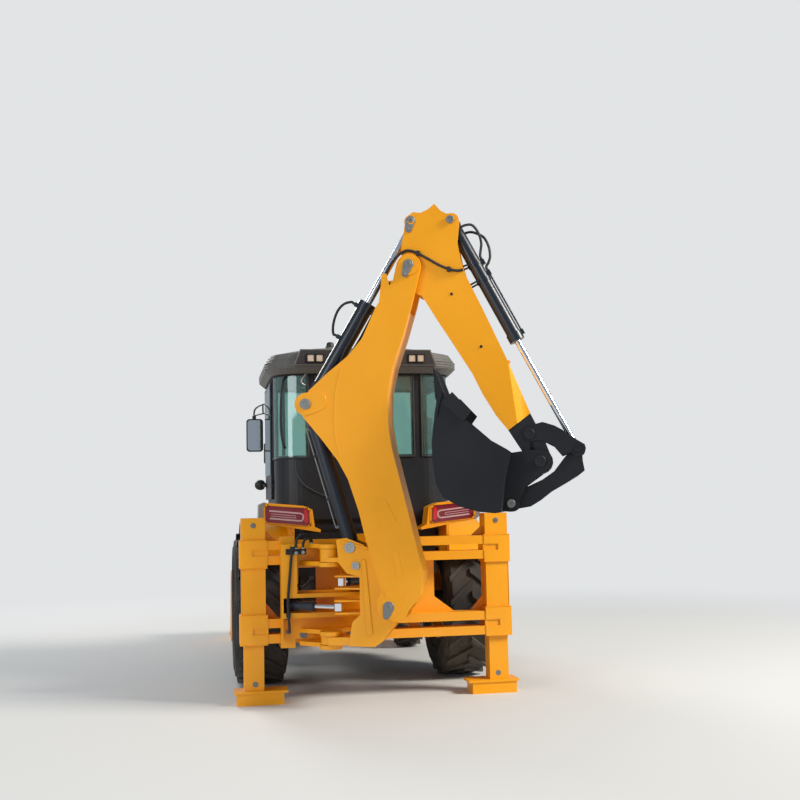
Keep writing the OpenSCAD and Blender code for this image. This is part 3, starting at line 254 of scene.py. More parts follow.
def span(tree, value, low, high, to_low=0.0, to_high=1.0):
    """A value spread from one range to another, held at its ends."""
    node = add(tree, "ShaderNodeMapRange")
    node.clamp = True
    tree.links.new(value, node.inputs["Value"])
    for label, number in (("From Min", low), ("From Max", high), ("To Min", to_low), ("To Max", to_high)):
        node.inputs[label].default_value = number
    return node.outputs["Result"]


def feed(tree, node, values):
    """A node's inputs by index, each from a socket or set to a plain value."""
    for index, value in values:
        if isinstance(value, bpy.types.NodeSocket):
            tree.links.new(value, node.inputs[index])
        else:
            node.inputs[index].default_value = value


def blend_colour(tree, amount, first, second):
    """Two colours mixed by an amount. Each may be a socket or a plain colour."""
    node = add(tree, "ShaderNodeMix", data_type="RGBA")
    feed(tree, node, ((0, amount), (6, first), (7, second)))
    return node.outputs[2]


def calc(tree, operation, first, second=0.0):
    """The result of an operation on two values."""
    node = add(tree, "ShaderNodeMath", operation=operation)
    feed(tree, node, enumerate((first, second)))
    return node.outputs[0]


def make_soiling():
    """Road dust: a thin veil all over, thicker near the ground, over a slightly uneven colour."""
    group, start, end = shader_group(
        "soiling",
        [("Colour", "colour", None), ("Dust", "colour", None), ("Amount", "value", 0.3),
         ("Height", "value", 0.9), ("Uneven", "value", 0.06), ("Roughness", "value", 0.4)],
        [("Colour", "colour"), ("Roughness", "value"), ("Mask", "value")])
    place = add(group, "ShaderNodeTexCoord").outputs["Object"]
    split = add(group, "ShaderNodeSeparateXYZ")
    group.links.new(place, split.inputs[0])
    broad = noise(group, place, 1.7, 5)
    fine = noise(group, place, 38, 6, 0.7)
    low = calc(group, "DIVIDE", split.outputs["Z"], start.outputs["Height"])
    low = calc(group, "SUBTRACT", 1.0, low)
    low = calc(group, "MAXIMUM", low, 0.12)
    patches = calc(group, "MULTIPLY", span(group, broad, 0.38, 0.68), span(group, fine, 0.3, 0.75, 0.35, 1.0))
    mask = calc(group, "MULTIPLY", calc(group, "MULTIPLY", low, patches), start.outputs["Amount"])
    shade = span(group, broad, 0.3, 0.7, -1.0, 1.0)
    shade = calc(group, "MULTIPLY", shade, start.outputs["Uneven"])
    shade = calc(group, "ADD", shade, 1.0)
    tint = add(group, "ShaderNodeHueSaturation")
    join(group, (start.outputs["Colour"], tint.inputs["Color"]), (shade, tint.inputs["Value"]))
    colour = blend_colour(group, mask, tint.outputs["Color"], start.outputs["Dust"])
    rough = calc(group, "ADD", start.outputs["Roughness"], calc(group, "MULTIPLY", mask, 0.5))
    rough = calc(group, "ADD", rough, span(group, fine, 0.3, 0.7, -0.03, 0.03))
    join(group, (colour, end.inputs["Colour"]), (rough, end.inputs["Roughness"]), (mask, end.inputs["Mask"]))
    return group


def make_texture():
    """Small relief of a sprayed, cast or moulded surface, as a height."""
    group, start, end = shader_group(
        "surface_relief", [("Scale", "value", 200.0), ("Waves", "value", 8.0)], [("Height", "value")])
    place = add(group, "ShaderNodeTexCoord").outputs["Object"]
    grain = add(group, "ShaderNodeTexNoise", Detail=3.0)
    waves = add(group, "ShaderNodeTexNoise", Detail=2.0)
    for node, label in ((grain, "Scale"), (waves, "Waves")):
        join(group, (place, node.inputs["Vector"]), (start.outputs[label], node.inputs["Scale"]))
    total = calc(group, "ADD", calc(group, "MULTIPLY", grain.outputs["Fac"], 0.35), waves.outputs["Fac"])
    group.links.new(total, end.inputs["Height"])
    return group


SOILING = make_soiling()
RELIEF = make_texture()
DUST = linear(168, 152, 128)


def finish_of(name, colour, rough, dust=0.3, dust_height=1.1, uneven=0.05, relief=0.0, scale=200.0,
              waves=8.0, **shader):
    """A material whose colour and roughness are soiled, with a small relief and plain shader values."""
    material = bpy.data.materials.new(name)
    tree = tree_of(material)
    bsdf = add(tree, "ShaderNodeBsdfPrincipled")
    for label, value in shader.items():
        bsdf.inputs[label.replace("_", " ")].default_value = value
    out = add(tree, "ShaderNodeOutputMaterial")
    tree.links.new(bsdf.outputs[0], out.inputs[0])
    soil = add(tree, "ShaderNodeGroup")
    soil.node_tree = SOILING
    for label, value in (("Colour", colour), ("Dust", DUST), ("Amount", dust), ("Height", dust_height),
                         ("Uneven", uneven), ("Roughness", rough)):
        soil.inputs[label].default_value = value
    join(tree, (soil.outputs["Colour"], bsdf.inputs["Base Color"]),
         (soil.outputs["Roughness"], bsdf.inputs["Roughness"]))
    if relief:
        shape = add(tree, "ShaderNodeGroup")
        shape.node_tree = RELIEF
        shape.inputs["Scale"].default_value = scale
        shape.inputs["Waves"].default_value = waves
        bump = add(tree, "ShaderNodeBump", Strength=relief, Distance=0.002)
        join(tree, (shape.outputs["Height"], bump.inputs["Height"]), (bump.outputs[0], bsdf.inputs["Normal"]))
    return material


YELLOW = finish_of("yellow_paint", linear(244, 162, 0), 0.38, 0.3, 1.3, relief=0.12, waves=22,
                   Specular_IOR_Level=0.35, Coat_Weight=0.1, Coat_Roughness=0.12)
BLACK = finish_of("black_paint", linear(22, 25, 30), 0.42, 0.2, 1.3, relief=0.12, waves=22, Specular_IOR_Level=0.35)
MATTE_BLACK = finish_of("bucket_paint", linear(17, 20, 26), 0.6, 0.12, 1.3, 0.12, relief=0.3, scale=90,
                        Specular_IOR_Level=0.3)
CYLINDER = finish_of("cylinder_paint", linear(17, 27, 40), 0.36, 0.12, 1.3, relief=0.08,
                     Specular_IOR_Level=0.4, Coat_Weight=0.15, Coat_Roughness=0.15)
GREY = finish_of("chassis_paint", linear(44, 45, 47), 0.55, 0.5, 1.2, 0.1, relief=0.2)
CAST = finish_of("cast_iron", linear(62, 62, 64), 0.7, 0.4, 1.6, 0.15, relief=0.5, scale=140, Metallic=0.6)
CHROME = finish_of("chrome_rod", linear(225, 228, 232), 0.1, 0.03, 1.0, 0.02, Metallic=1.0)
STEEL = finish_of("plain_steel", linear(172, 172, 168), 0.36, 0.15, 1.0, 0.08, relief=0.1, Metallic=0.9)
ROOF_PANEL = finish_of("roof_panel", linear(38, 35, 35), 0.5, 0.12, 4.0, 0.05, relief=0.2, scale=320)
ROOF = finish_of("roof_plastic", linear(97, 95, 91), 0.6, 0.2, 4.0, 0.05, relief=0.25, scale=320)
FLARE = finish_of("flare_plastic", linear(134, 130, 124), 0.6, 0.35, 3.0, 0.06, relief=0.25, scale=320)
PLASTIC = finish_of("black_plastic", linear(24, 25, 27), 0.5, 0.2, 1.3, 0.05, relief=0.3, scale=420)
PIPE = finish_of("exhaust_steel", linear(120, 112, 100), 0.45, 0.15, 1.3, 0.2, relief=0.15, Metallic=0.9)
RUBBER = finish_of("tyre_rubber", linear(34, 34, 35), 0.82, 0.5, 1.5, 0.12, relief=0.4, scale=160)
HOSE = finish_of("hose_rubber", linear(26, 26, 28), 0.6, 0.3, 1.6, 0.08, relief=0.5, scale=300)
ZINC = finish_of("plain_steel", linear(128, 130, 128), 0.5, 0.2, 1.4, 0.1, relief=0.2, Metallic=0.55)
VINYL = finish_of("seat_vinyl", linear(40, 41, 43), 0.55, 0.05, 1.0, 0.06, relief=0.6, scale=500, waves=60)


def lens_material(name, colour, rough):
    """A moulded lens with fine ribs across it."""
    material = finish_of(name, colour, rough, 0.08, 1.3, 0.03, Coat_Weight=0.8, Coat_Roughness=0.05)
    tree = material.node_tree
    bsdf = next(n for n in tree.nodes if n.type == "BSDF_PRINCIPLED")
    place = add(tree, "ShaderNodeTexCoord")
    ribs = add(tree, "ShaderNodeTexWave", Scale=45.0, Distortion=0.0)
    bump = add(tree, "ShaderNodeBump", Strength=0.25, Distance=0.002)
    join(tree, (place.outputs["Object"], ribs.inputs["Vector"]), (ribs.outputs["Fac"], bump.inputs["Height"]),
         (bump.outputs[0], bsdf.inputs["Normal"]))
    return material


RED_LENS = lens_material("red_lens", linear(128, 16, 30), 0.18)
CLEAR_LENS = lens_material("clear_lens", linear(190, 172, 152), 0.12)
GUIDE_LENS = lens_material("guide_lens", linear(206, 168, 172), 0.15)
BRIGHT_LENS = lens_material("bright_red_lens", linear(205, 22, 34), 0.15)
MIRROR = finish_of("mirror_face", linear(226, 230, 232), 0.03, 0.02, 1.0, 0.01, Metallic=1.0)


def tinted_glass():
    """Green tinted safety glass, seen through as a thin pane."""
    material = bpy.data.materials.new("tinted_glass")
    tree = tree_of(material)
    bsdf = add(tree, "ShaderNodeBsdfPrincipled", Base_Color=linear(176, 212, 205), Roughness=0.03,
               IOR=1.05, Transmission_Weight=0.93, Coat_Weight=1.0)
    out = add(tree, "ShaderNodeOutputMaterial")
    tree.links.new(bsdf.outputs[0], out.inputs[0])
    place = add(tree, "ShaderNodeTexCoord").outputs["Object"]
    haze = span(tree, noise(tree, place, 3.0, 4), 0.35, 0.75, 0.02, 0.1)
    tree.links.new(haze, bsdf.inputs["Roughness"])
    return material


GLASS = tinted_glass()

FINISHES = (
    (YELLOW, "rear_frame fenders bonnet loader_arms loader_bucket leg_left leg_right carriage swing_post boom dipper "
             "rim_rear_left rim_rear_right rim_front_left rim_front_right"),
    (BLACK, "cab_shell door_left door_right nose side_boxes"),
    (CYLINDER, "boom_barrel dipper_barrel bucket_barrel lift_barrels tilt_barrels swing_rams"),
    (MATTE_BLACK, "hoe_bucket tipping_links bucket_link"),
    (GREY, "chassis rear_axle front_axle knuckle_left knuckle_right"),
    (GLASS, "cab_glass door_glass_left door_glass_right"),
    (PLASTIC, "mirrors controls"),
    (HOSE, "boom_hoses dipper_hoses ram_hose carriage_hoses"),
    (CHROME, "lift_rods tilt_rods swing_rod_left swing_rod_right boom_rod dipper_rod bucket_rod"),
    (RUBBER, "tyre_rear_left tyre_rear_right tyre_front_left tyre_front_right"),
    (CAST, "engine"), (ROOF, "roof"), (VINYL, "seat"), (PIPE, "exhaust"), (RED_LENS, "lamps"),
    (CLEAR_LENS, "work_lamps"),
)
NODE_FINISH = {name: finish for finish, names in FINISHES for name in names.split()}

for node_name, node in NODES.items():
    node.data.materials.clear()
    node.data.materials.append(NODE_FINISH[node_name])


# Makers of meshes


def place_mesh(name, mesh, material, body, crease=35):
    """A finished piece at the origin, riding on a body if one is given, with its material."""
    for polygon in mesh.polygons:
        polygon.use_smooth = True
    mesh.set_sharp_from_angle(angle=math.radians(crease))
    mesh.materials.clear()
    mesh.materials.append(material)
    piece = bpy.data.objects.new(name, mesh)
    bpy.context.scene.collection.objects.link(piece)
    if body:
        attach(piece, body)
    return piece


def frame_axes(along):
    """Two directions square to a third."""
    along = Vector(along).normalized()
    side = along.orthogonal().normalized()
    return side, along.cross(side).normalized()


def smooth_route(points, steps=6):
    """A rounded route through points, as a Catmull-Rom curve."""
    points = [Vector(p) for p in points]
    ends = [points[0] * 2 - points[1]] + points + [points[-1] * 2 - points[-2]]
    route = []
    for a, b, c, d in zip(ends, ends[1:], ends[2:], ends[3:]):
        for i in range(steps):
            t = i / steps
            route.append(0.5 * (b * 2 + (c - a) * t + (a * 2 - b * 5 + c * 4 - d) * t * t
                                + (b * 3 - a - c * 3 + d) * t ** 3))
    return route + [points[-1]]


class Shape:
    """Solids gathered in one mesh, which becomes one piece."""

    def __init__(self):
        self.bm = bmesh.new()

    def rings(self, rings):
        """A closed solid through rings of the same number of points."""
        rows = [[self.bm.verts.new(p) for p in ring] for ring in rings]
        count = len(rows[0])
        made = []
        for low, high in zip(rows, rows[1:]):
            for i in range(count):
                j = (i + 1) % count
                made.append(self.bm.faces.new((low[i], low[j], high[j], high[i])))
        made.append(self.bm.faces.new(rows[0][::-1]))
        made.append(self.bm.faces.new(rows[-1]))
        bmesh.ops.recalc_face_normals(self.bm, faces=made)
        return self

    def lathe(self, profile, base, axis, sides=32):
        """A turned solid: profile is (height, radius) pairs in millimetres along the axis from base."""
        base, axis = Vector(base), Vector(axis).normalized()
        u, v = frame_axes(axis)
        rings = []
        for height, radius in profile:
            centre = base + axis * height * MM
            rings.append([centre + (u * math.cos(a) + v * math.sin(a)) * max(radius, 0.05) * MM
                          for a in (math.tau * i / sides for i in range(sides))])
        return self.rings(rings)

    def hoop(self, profile, base, axis, sides=72):
        """A closed ring: profile is a loop of (height, radius) pairs in millimetres turned about an axis."""
        base, axis = Vector(base), Vector(axis).normalized()
        u, v = frame_axes(axis)
        rows = []
        for k in range(sides):
            out = u * math.cos(math.tau * k / sides) + v * math.sin(math.tau * k / sides)
            rows.append([self.bm.verts.new(base + (axis * h + out * r) * MM) for h, r in profile])
        made = []
        for low, high in zip(rows, rows[1:] + rows[:1]):
            for i in range(len(profile)):
                j = (i + 1) % len(profile)
                made.append(self.bm.faces.new((low[i], low[j], high[j], high[i])))
        bmesh.ops.recalc_face_normals(self.bm, faces=made)
        return self

    def plate(self, outline, base, u, v, thick, ease=0.0):
        """A flat plate: outline in millimetres along u and v, thick along their normal, edges eased."""
        base, u, v = Vector(base), Vector(u).normalized(), Vector(v).normalized()
        n = u.cross(v)

        def ring(points, lift):
            return [base + u * x * MM + v * y * MM + n * lift * MM for x, y in points]

        if not ease:
            return self.rings([ring(outline, 0), ring(outline, thick)])
        small = inset(outline, ease)
        return self.rings([ring(small, 0), ring(outline, ease), ring(outline, thick - ease), ring(small, thick)])

    def box(self, low, high, ease):
        """A block between two corners in the machine's millimetres, with eased edges."""
        size, centre = Vector(high) - Vector(low), (Vector(low) + Vector(high)) / 2
        # Made apart, because solids that follow a bevel in one mesh have their faces in a new order each run
        block = bmesh.new()
        for vert in bmesh.ops.create_cube(block, size=1)["verts"]:
            vert.co = at(*(centre + Vector(a * b for a, b in zip(vert.co, size))))
        bmesh.ops.bevel(block, geom=block.edges[:], offset=ease * MM, segments=2, affect="EDGES",
                        profile=0.5, clamp_overlap=True)
        mesh = settle(block, "block")
        self.bm.from_mesh(mesh)
        bpy.data.meshes.remove(mesh)
        return self

    def tube(self, points, radius, sides=14, steps=6, straight=False):
        """A round tube of a radius in millimetres along a route, closed at its ends."""
        route = [Vector(p) for p in points] if straight else smooth_route(points, steps)
        heading = (route[1] - route[0]).normalized()
        u, v = frame_axes(heading)
        rings = []
        for i, point in enumerate(route):
            before, after = route[max(i - 1, 0)], route[min(i + 1, len(route) - 1)]
            turn = heading.rotation_difference((after - before).normalized())
            heading = (after - before).normalized()
            u, v = turn @ u, turn @ v
            rings.append([point + (u * math.cos(a) + v * math.sin(a)) * radius * MM
                          for a in (math.tau * k / sides for k in range(sides))])
        return self.rings(rings)

    def done(self, name, material, body):
        """The gathered solids as a finished piece."""
        return place_mesh(name, settle(self.bm, name), material, body)


def settle(bm, name):
    """A working mesh as a finished one."""
    mesh = bpy.data.meshes.new(name)
    bm.to_mesh(mesh)
    bm.free()
    return mesh


def inset(outline, amount):
    """An outline drawn in by an amount, corner by corner, whichever way it runs."""
    count = len(outline)
    area = sum(outline[i][0] * outline[(i + 1) % count][1] - outline[(i + 1) % count][0] * outline[i][1]
               for i in range(count))
    way = 1 if area > 0 else -1
    result = []
    for i in range(count):
        a, b, c = Vector(outline[i - 1]), Vector(outline[i]), Vector(outline[(i + 1) % count])
        e, f = (b - a).normalized(), (c - b).normalized()
        n = (Vector((-e.y, e.x)) + Vector((-f.y, f.x))) * way
        scale = amount / max(0.3, n.length_squared / 2)
        result.append(tuple(b + n * scale))
    return result


def arc(centre, radius, start, stop, count=12):
    """Points on an arc, in degrees."""
    return [(centre[0] + radius * math.cos(math.radians(start + (stop - start) * i / count)),
             centre[1] + radius * math.sin(math.radians(start + (stop - start) * i / count)))
            for i in range(count + 1)]


def quad(x0, x1, y0, y1):
    """The outline of a rectangle."""
    return [(x0, y0), (x1, y0), (x1, y1), (x0, y1)]


def pill(a, b, ra, rb, count=12):
    """The outline round two circles: a tapered link from a to b."""
    turn = math.degrees(math.atan2(b[1] - a[1], b[0] - a[0]))
    far = math.dist(a, b)
    lean = math.degrees(math.asin((ra - rb) / far))
    return (arc(a, ra, turn + 90 - lean, turn + 270 + lean, count)
            + arc(b, rb, turn - 90 + lean, turn + 90 - lean, count))


# Digging arm

BOOM_FACE, DIPPER_FACE, BOSS_FACE, CASTING_FACE = 150, 105, 162, 111
RAM_BASE = (1065, 3933)
FOOT_PIN, LIFT_FOOT, LUG_PIN = (501, 812), (188, 1295), (-152, 2461)
TIP_PIN, KNUCKLE, BUCKET_PIN, LINK_PIN = (1650, 2170), (2028, 2042), (1730, 1949), (1494, 1621)


def flat_on(shape, outline, face, side, thick, ease=2.0):
    """A flat plate lying on one face of the arm: side -1 is the left face, 1 the right."""
    base = hoe(0, -face if side < 0 else face + thick, 0)
    return shape.plate(outline, base, HOE_OUT, UP, thick, ease)


def turned_on(shape, place, face, side, profile, sides=36):
    """A turned detail standing on one face of the arm."""
    return shape.lathe(profile, hoe(place[0], side * face, place[1]), HOE_ACROSS * side, sides)


def ring_profile(outer, inner, height):
    """A washer with an eased rim and a dished middle."""
    return [(0, outer), (height - 2, outer), (height, outer - 2), (height, inner), (height - 4, inner - 2),
            (height - 4, 0)]


def stud_profile(radius, height, ease=1.5, drop=1.5):
    """The profile of a bolt head, nut or stud: over its last part the radius drops."""
    return [(0, radius), (height - ease, radius), (height, radius - drop), (height, 0)]


def keeper(shape, pin, bolt, face, side, pin_r, bolt_r, thick=12):
    """A tapered keeper plate over a pin, with the pin's end and one bolt showing."""
    flat_on(shape, pill(pin, bolt, pin_r, bolt_r), face, side, thick, 3)
    turned_on(shape, pin, face + thick, side, ring_profile(pin_r * 0.62, pin_r * 0.3, 6))
    turned_on(shape, bolt, face + thick, side, stud_profile(bolt_r * 0.55, 8), 6)


def pins_of(name, body, rows, material=ZINC):
    """Ring heads on both faces, from (place, face, outer, inner, height) rows."""
    shape = Shape()
    for place, face, outer, inner, height in rows:
        for side in SIDES:
            turned_on(shape, place, face, side, ring_profile(outer, inner, height))
    return shape.done(name, material, body)


def dress_boom():
    """Keepers, rings, plates and seams of the boom, and the pipe and bands of its cylinder."""
    keepers = Shape()
    for side in SIDES:
        keeper(keepers, (721, 3570), (690, 3490), BOSS_FACE, side, 42, 24)
        keeper(keepers, (503, 822), (484, 752), BOOM_FACE, side, 46, 27)
    keepers.done("boom_pin_keepers", ZINC, "boom")
    pins_of("boom_lug_rings", "boom", [(LUG_PIN, BOOM_FACE + 14, 44, 24, 8)])
    plates = Shape()
    for side in SIDES:
        flat_on(plates, pill(LUG_PIN, (-60, 2480), 92, 84), BOOM_FACE, side, 7, 2)
        flat_on(plates, [(425, 1670), (498, 1669), (584, 1493), (486, 1455), (423, 1575)], BOOM_FACE, side, 3, 1.5)
        flat_on(plates, [(538, 1256), (587, 1271), (631, 1058), (582, 1035)], BOOM_FACE, side, 3, 1.5)
        flat_on(plates, arc(FOOT_PIN, 88, 100, 350, 20) + [(640, 930), (470, 960)], BOOM_FACE, side, 5, 2)
    plates.done("boom_doubler_plates", YELLOW, "boom")
    seams = Shape()
    for side in SIDES:
        weld_bead(seams, [hoe(u, side * BOOM_FACE, z) for u, z in (
            (148, 2746), (113, 2608), (94, 2486), (90, 2226), (128, 2039))], 3)
    seams.done("boom_seams", YELLOW, "boom")
    pipe = Shape()
    foot = on_arm(LIFT_FOOT)
    along = (on_arm(LUG_PIN) - foot).normalized()
    out = along.cross(HOE_ACROSS)
    out = out if out.dot(HOE_OUT) < 0 else -out

    def beside(run, off):
        return foot + (along * run + out * off) * MM

    first, last = 190, 1032
    pipe.tube([beside(run, off) for run, off in (
        (first, 58), (first, 74), (204, 84), (400, 84), (700, 84), (1010, 84), (1030, 76), (last, 58))], 7)
    for run in (first, last):
        pipe.lathe([(0, 17), (12, 17), (12, 13), (18, 13)], beside(run, 56), out, 6)
    pipe.done("boom_ram_pipe", ZINC, "boom_barrel")
    bands = Shape()
    for run in (430, 800):
        bands.hoop([(-9, 61.5), (9, 61.5), (9, 66), (-9, 66)], beside(run, 0), along, 48)
        bands.lathe(stud_profile(12, 30, 2, 3), beside(run, 64), out, 6)
    bands.done("boom_ram_bands", CYLINDER, "boom_barrel")


def weld_bead(shape, points, radius=4.0):
    """A line of weld along a seam."""
    return shape.tube(smooth_route(points, 8), radius, sides=8, straight=True)


def dress_dipper():
    """Keepers, rings, plugs and lug of the dipper, pins of its bucket and straps of the bucket's cylinder."""
    keepers = Shape()
    for side in SIDES:
        keeper(keepers, (740, 3945), (722, 3872), DIPPER_FACE, side, 38, 27)
    keepers.done("dipper_pin_keepers", ZINC, "dipper")
    pins_of("dipper_pin_rings", "dipper", [(RAM_BASE, DIPPER_FACE + 12, 34, 20, 5)])
    pins_of("dipper_end_rings", "dipper", [(TIP_PIN, 122, 44, 26, 6)], BLACK)
    pins_of("bucket_pin_rings", "hoe_bucket", [(BUCKET_PIN, 134, 46, 26, 6)], BLACK)
    pins_of("bucket_link_pin_heads", "hoe_bucket", [(LINK_PIN, 134, 33, 8, 7)])
    grommets = Shape()
    for side in SIDES:
        for place in ((1062, 3319), (1290, 2880)):
            turned_on(grommets, place, DIPPER_FACE, side, ring_profile(12, 6, 5), 16)
    grommets.done("dipper_plugs", BLACK, "dipper")
    straps = Shape()
    base = on_arm(RAM_BASE)
    along = (on_arm(KNUCKLE) - base).normalized()
    for run, low in ((405, (1118, 3537)), (558, (1206, 3391))):
        middle = base + along * run * MM
        straps.hoop([(-17, 55.5), (17, 55.5), (17, 61), (-17, 61)], middle, along, 48)
        reach = middle - HOE_OUT * 24 * MM - on_arm(low)
        for across in (-58, 58):
            straps.plate(strip([(0, 0), (reach.dot(HOE_OUT) / MM, reach.dot(UP) / MM)], 15),
                         hoe(low[0], across, low[1]), HOE_OUT, UP, 6, 1)
    straps.done("bucket_ram_straps", CYLINDER, "dipper")
    lug = Shape()
    lug.plate([(0, 0), (22, -8), (4, -54), (-20, -46)], hoe(1492, 22, 2774), HOE_OUT, UP, 44, 2)
    lug.done("dipper_edge_lug", YELLOW, "dipper")


def pattern_of(shape):
    """A shape's mesh on a scene object that a node tree can copy."""
    return bpy.data.objects.new("pattern", settle(shape.bm, "pattern"))


def bolt_head(size, height, axis):
    """A flanged hexagon bolt head standing along an axis."""
    return Shape().lathe([(0, size * 1.5), (3, size * 1.5), (3, size), (height, size), (height + 2, size * 0.8),
                          (height + 2, 0)], (0, 0, 0), axis, 6)


def bolt_circle(name, body, centre, axis, radius, count, size, height, material):
    """Hexagon bolts set round an axis by a node tree, made one plain mesh."""
    pattern = pattern_of(bolt_head(size, height, UP))
    result = run_tree(ring_tree(), name, {
        "Pattern": pattern, "Count": count, "Radius": radius * MM, "Material": material})
    axis = Vector(axis).normalized()
    u, v = frame_axes(axis)
    turn = Matrix((u, v, axis)).transposed().to_4x4()
    result.transform(Matrix.Translation(Vector(centre)) @ turn)
    bpy.data.objects.remove(pattern)
    return place_mesh(name, result, material, body)


def row_of(name, body, shape, first, last, count, material):
    """Copies of a shape in a straight row, by a node tree."""
    pattern = pattern_of(shape)
    result = run_tree(row_tree(), name, {
        "Pattern": pattern, "Count": count, "First": tuple(first), "Last": tuple(last), "Material": material})
    bpy.data.objects.remove(pattern)
    return place_mesh(name, result, material, body)


def tree_with(name, inputs):
    """A geometry tree with named inputs and one geometry output."""
    tree = bpy.data.node_groups.new(name, "GeometryNodeTree")
    kinds = {"object": "NodeSocketObject", "count": "NodeSocketInt", "size": "NodeSocketFloat",
             "vector": "NodeSocketVector", "material": "NodeSocketMaterial"}
    tree.interface.new_socket(name="Geometry", in_out="INPUT", socket_type="NodeSocketGeometry")
    for label, kind in inputs:
        tree.interface.new_socket(name=label, in_out="INPUT", socket_type=kinds[kind])
    tree.interface.new_socket(name="Geometry", in_out="OUTPUT", socket_type="NodeSocketGeometry")
    return tree, tree.nodes.new("NodeGroupInput"), tree.nodes.new("NodeGroupOutput")


def finish_tree(tree, start, end, geometry):
    """Realizes the instances and sets the material before the output."""
    real = tree.nodes.new("GeometryNodeRealizeInstances")
    paint = tree.nodes.new("GeometryNodeSetMaterial")
    join(tree, (geometry, real.inputs[0]), (real.outputs[0], paint.inputs["Geometry"]),
         (start.outputs["Material"], paint.inputs["Material"]), (paint.outputs[0], end.inputs[0]))


@functools.cache
def row_tree():
    """Copies of a pattern along a straight line from one point to another."""
    tree, start, end = tree_with("stand_in_a_row", [
        ("Pattern", "object"), ("Count", "count"), ("First", "vector"), ("Last", "vector"),
        ("Material", "material")])
    line = add(tree, "GeometryNodeMeshLine", mode="END_POINTS")
    info = tree.nodes.new("GeometryNodeObjectInfo")
    place = tree.nodes.new("GeometryNodeInstanceOnPoints")
    join(tree, (start.outputs["Count"], line.inputs["Count"]),
         (start.outputs["First"], line.inputs["Start Location"]), (start.outputs["Last"], line.inputs["Offset"]),
         (start.outputs["Pattern"], info.inputs["Object"]), (line.outputs["Mesh"], place.inputs["Points"]),
         (info.outputs["Geometry"], place.inputs["Instance"]))
    finish_tree(tree, start, end, place.outputs[0])
    return tree


@functools.cache
def ring_tree():
    """Copies of a pattern stood round a circle about Z, each turned to face outwards."""
    tree, start, end = tree_with("stand_in_a_ring", [
        ("Pattern", "object"), ("Count", "count"), ("Radius", "size"), ("Material", "material")])
    circle = tree.nodes.new("GeometryNodeMeshCircle")
    info = tree.nodes.new("GeometryNodeObjectInfo")
    index = tree.nodes.new("GeometryNodeInputIndex")
    step = add(tree, "ShaderNodeMath", operation="DIVIDE")
    step.inputs[0].default_value = math.tau
    angle = add(tree, "ShaderNodeMath", operation="MULTIPLY")
    turn = tree.nodes.new("ShaderNodeCombineXYZ")
    place = tree.nodes.new("GeometryNodeInstanceOnPoints")
    join(tree, (start.outputs["Count"], circle.inputs["Vertices"]),
         (start.outputs["Radius"], circle.inputs["Radius"]), (start.outputs["Pattern"], info.inputs["Object"]),
         (start.outputs["Count"], step.inputs[1]), (index.outputs[0], angle.inputs[0]),
         (step.outputs[0], angle.inputs[1]), (angle.outputs[0], turn.inputs["Z"]),
         (circle.outputs["Mesh"], place.inputs["Points"]), (info.outputs["Geometry"], place.inputs["Instance"]),
         (turn.outputs[0], place.inputs["Rotation"]))
    finish_tree(tree, start, end, place.outputs[0])
    return tree


def run_tree(tree, name, values):
    """A tree's result as a plain mesh, with its named inputs set."""
    holder = bpy.data.objects.new(name + "_holder", bpy.data.meshes.new(name + "_holder"))
    bpy.context.scene.collection.objects.link(holder)
    modifier = holder.modifiers.new("tree", "NODES")
    modifier.node_group = tree
    for item in tree.interface.items_tree:
        if item.item_type == "SOCKET" and item.in_out == "INPUT" and item.name in values:
            modifier[item.identifier] = values[item.name]
    bpy.context.view_layer.update()
    evaluated = holder.evaluated_get(bpy.context.evaluated_depsgraph_get())
    mesh = bpy.data.meshes.new_from_object(evaluated)
    bpy.data.objects.remove(holder)
    mesh.name = name
    return mesh


def merged(node_name):
    """A node's mesh with its corners joined and its flat faces whole."""
    bm = bmesh.new()
    bm.from_mesh(NODES[node_name].data)
    bmesh.ops.remove_doubles(bm, verts=bm.verts, dist=0.00002)
    bmesh.ops.dissolve_limit(bm, angle_limit=math.radians(0.6), verts=bm.verts, edges=bm.edges)
    return bm


def split_dipper():
    """The dipper in two pieces: yellow above a slanting line, black below it."""
    a, b = hoe(1487, 0, 2200), hoe(1664, 0, 2331)
    normal = (b - a).cross(HOE_ACROSS)
    for name, material, below in (("dipper_arm", YELLOW, False), ("dipper_end", BLACK, True)):
        bm = merged("dipper")
        cut = bmesh.ops.bisect_plane(
            bm, geom=bm.verts[:] + bm.edges[:] + bm.faces[:], plane_co=a, plane_no=normal,
            clear_outer=below, clear_inner=not below)
        rim = [e for e in cut["geom_cut"] if isinstance(e, bmesh.types.BMEdge)]
        bmesh.ops.holes_fill(bm, edges=rim)
        piece = place_mesh(name, settle(bm, name), material, "dipper", 14)
        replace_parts(piece, "dipper")


# Rear frame, carriage and lamps

CASING_FACE, LEG_FACE, PLATE_FACE, HOSE_PLATE, LENS_FACE = -1172, -1155, -1216.6, -1340.6, -868
CASTING_RINGS = (((188, 1295), 44, 26), ((235, 1150), 33, 19))


def disc(shape, x, y, z, outer, inner, height):
    """A ring head facing the rear."""
    return shape.lathe(ring_profile(outer, inner, height), at(x, y, z), REAR)


def strip(points, width):
    """The outline of a band of a width along a line of points."""
    left, right = [], []
    for i, point in enumerate(points):
        before = points[i - 1] if i else point
        after = points[i + 1] if i < len(points) - 1 else point
        a, b, c = Vector(before), Vector(point), Vector(after)
        e = (b - a).normalized() if before != point else (c - b).normalized()
        f = (c - b).normalized() if after != point else e
        n = Vector((-e.y - f.y, e.x + f.x))
        n = n * (width / max(0.4, n.length_squared))
        left.append(tuple(b + n))
        right.append(tuple(b - n))
    return left + right[::-1]


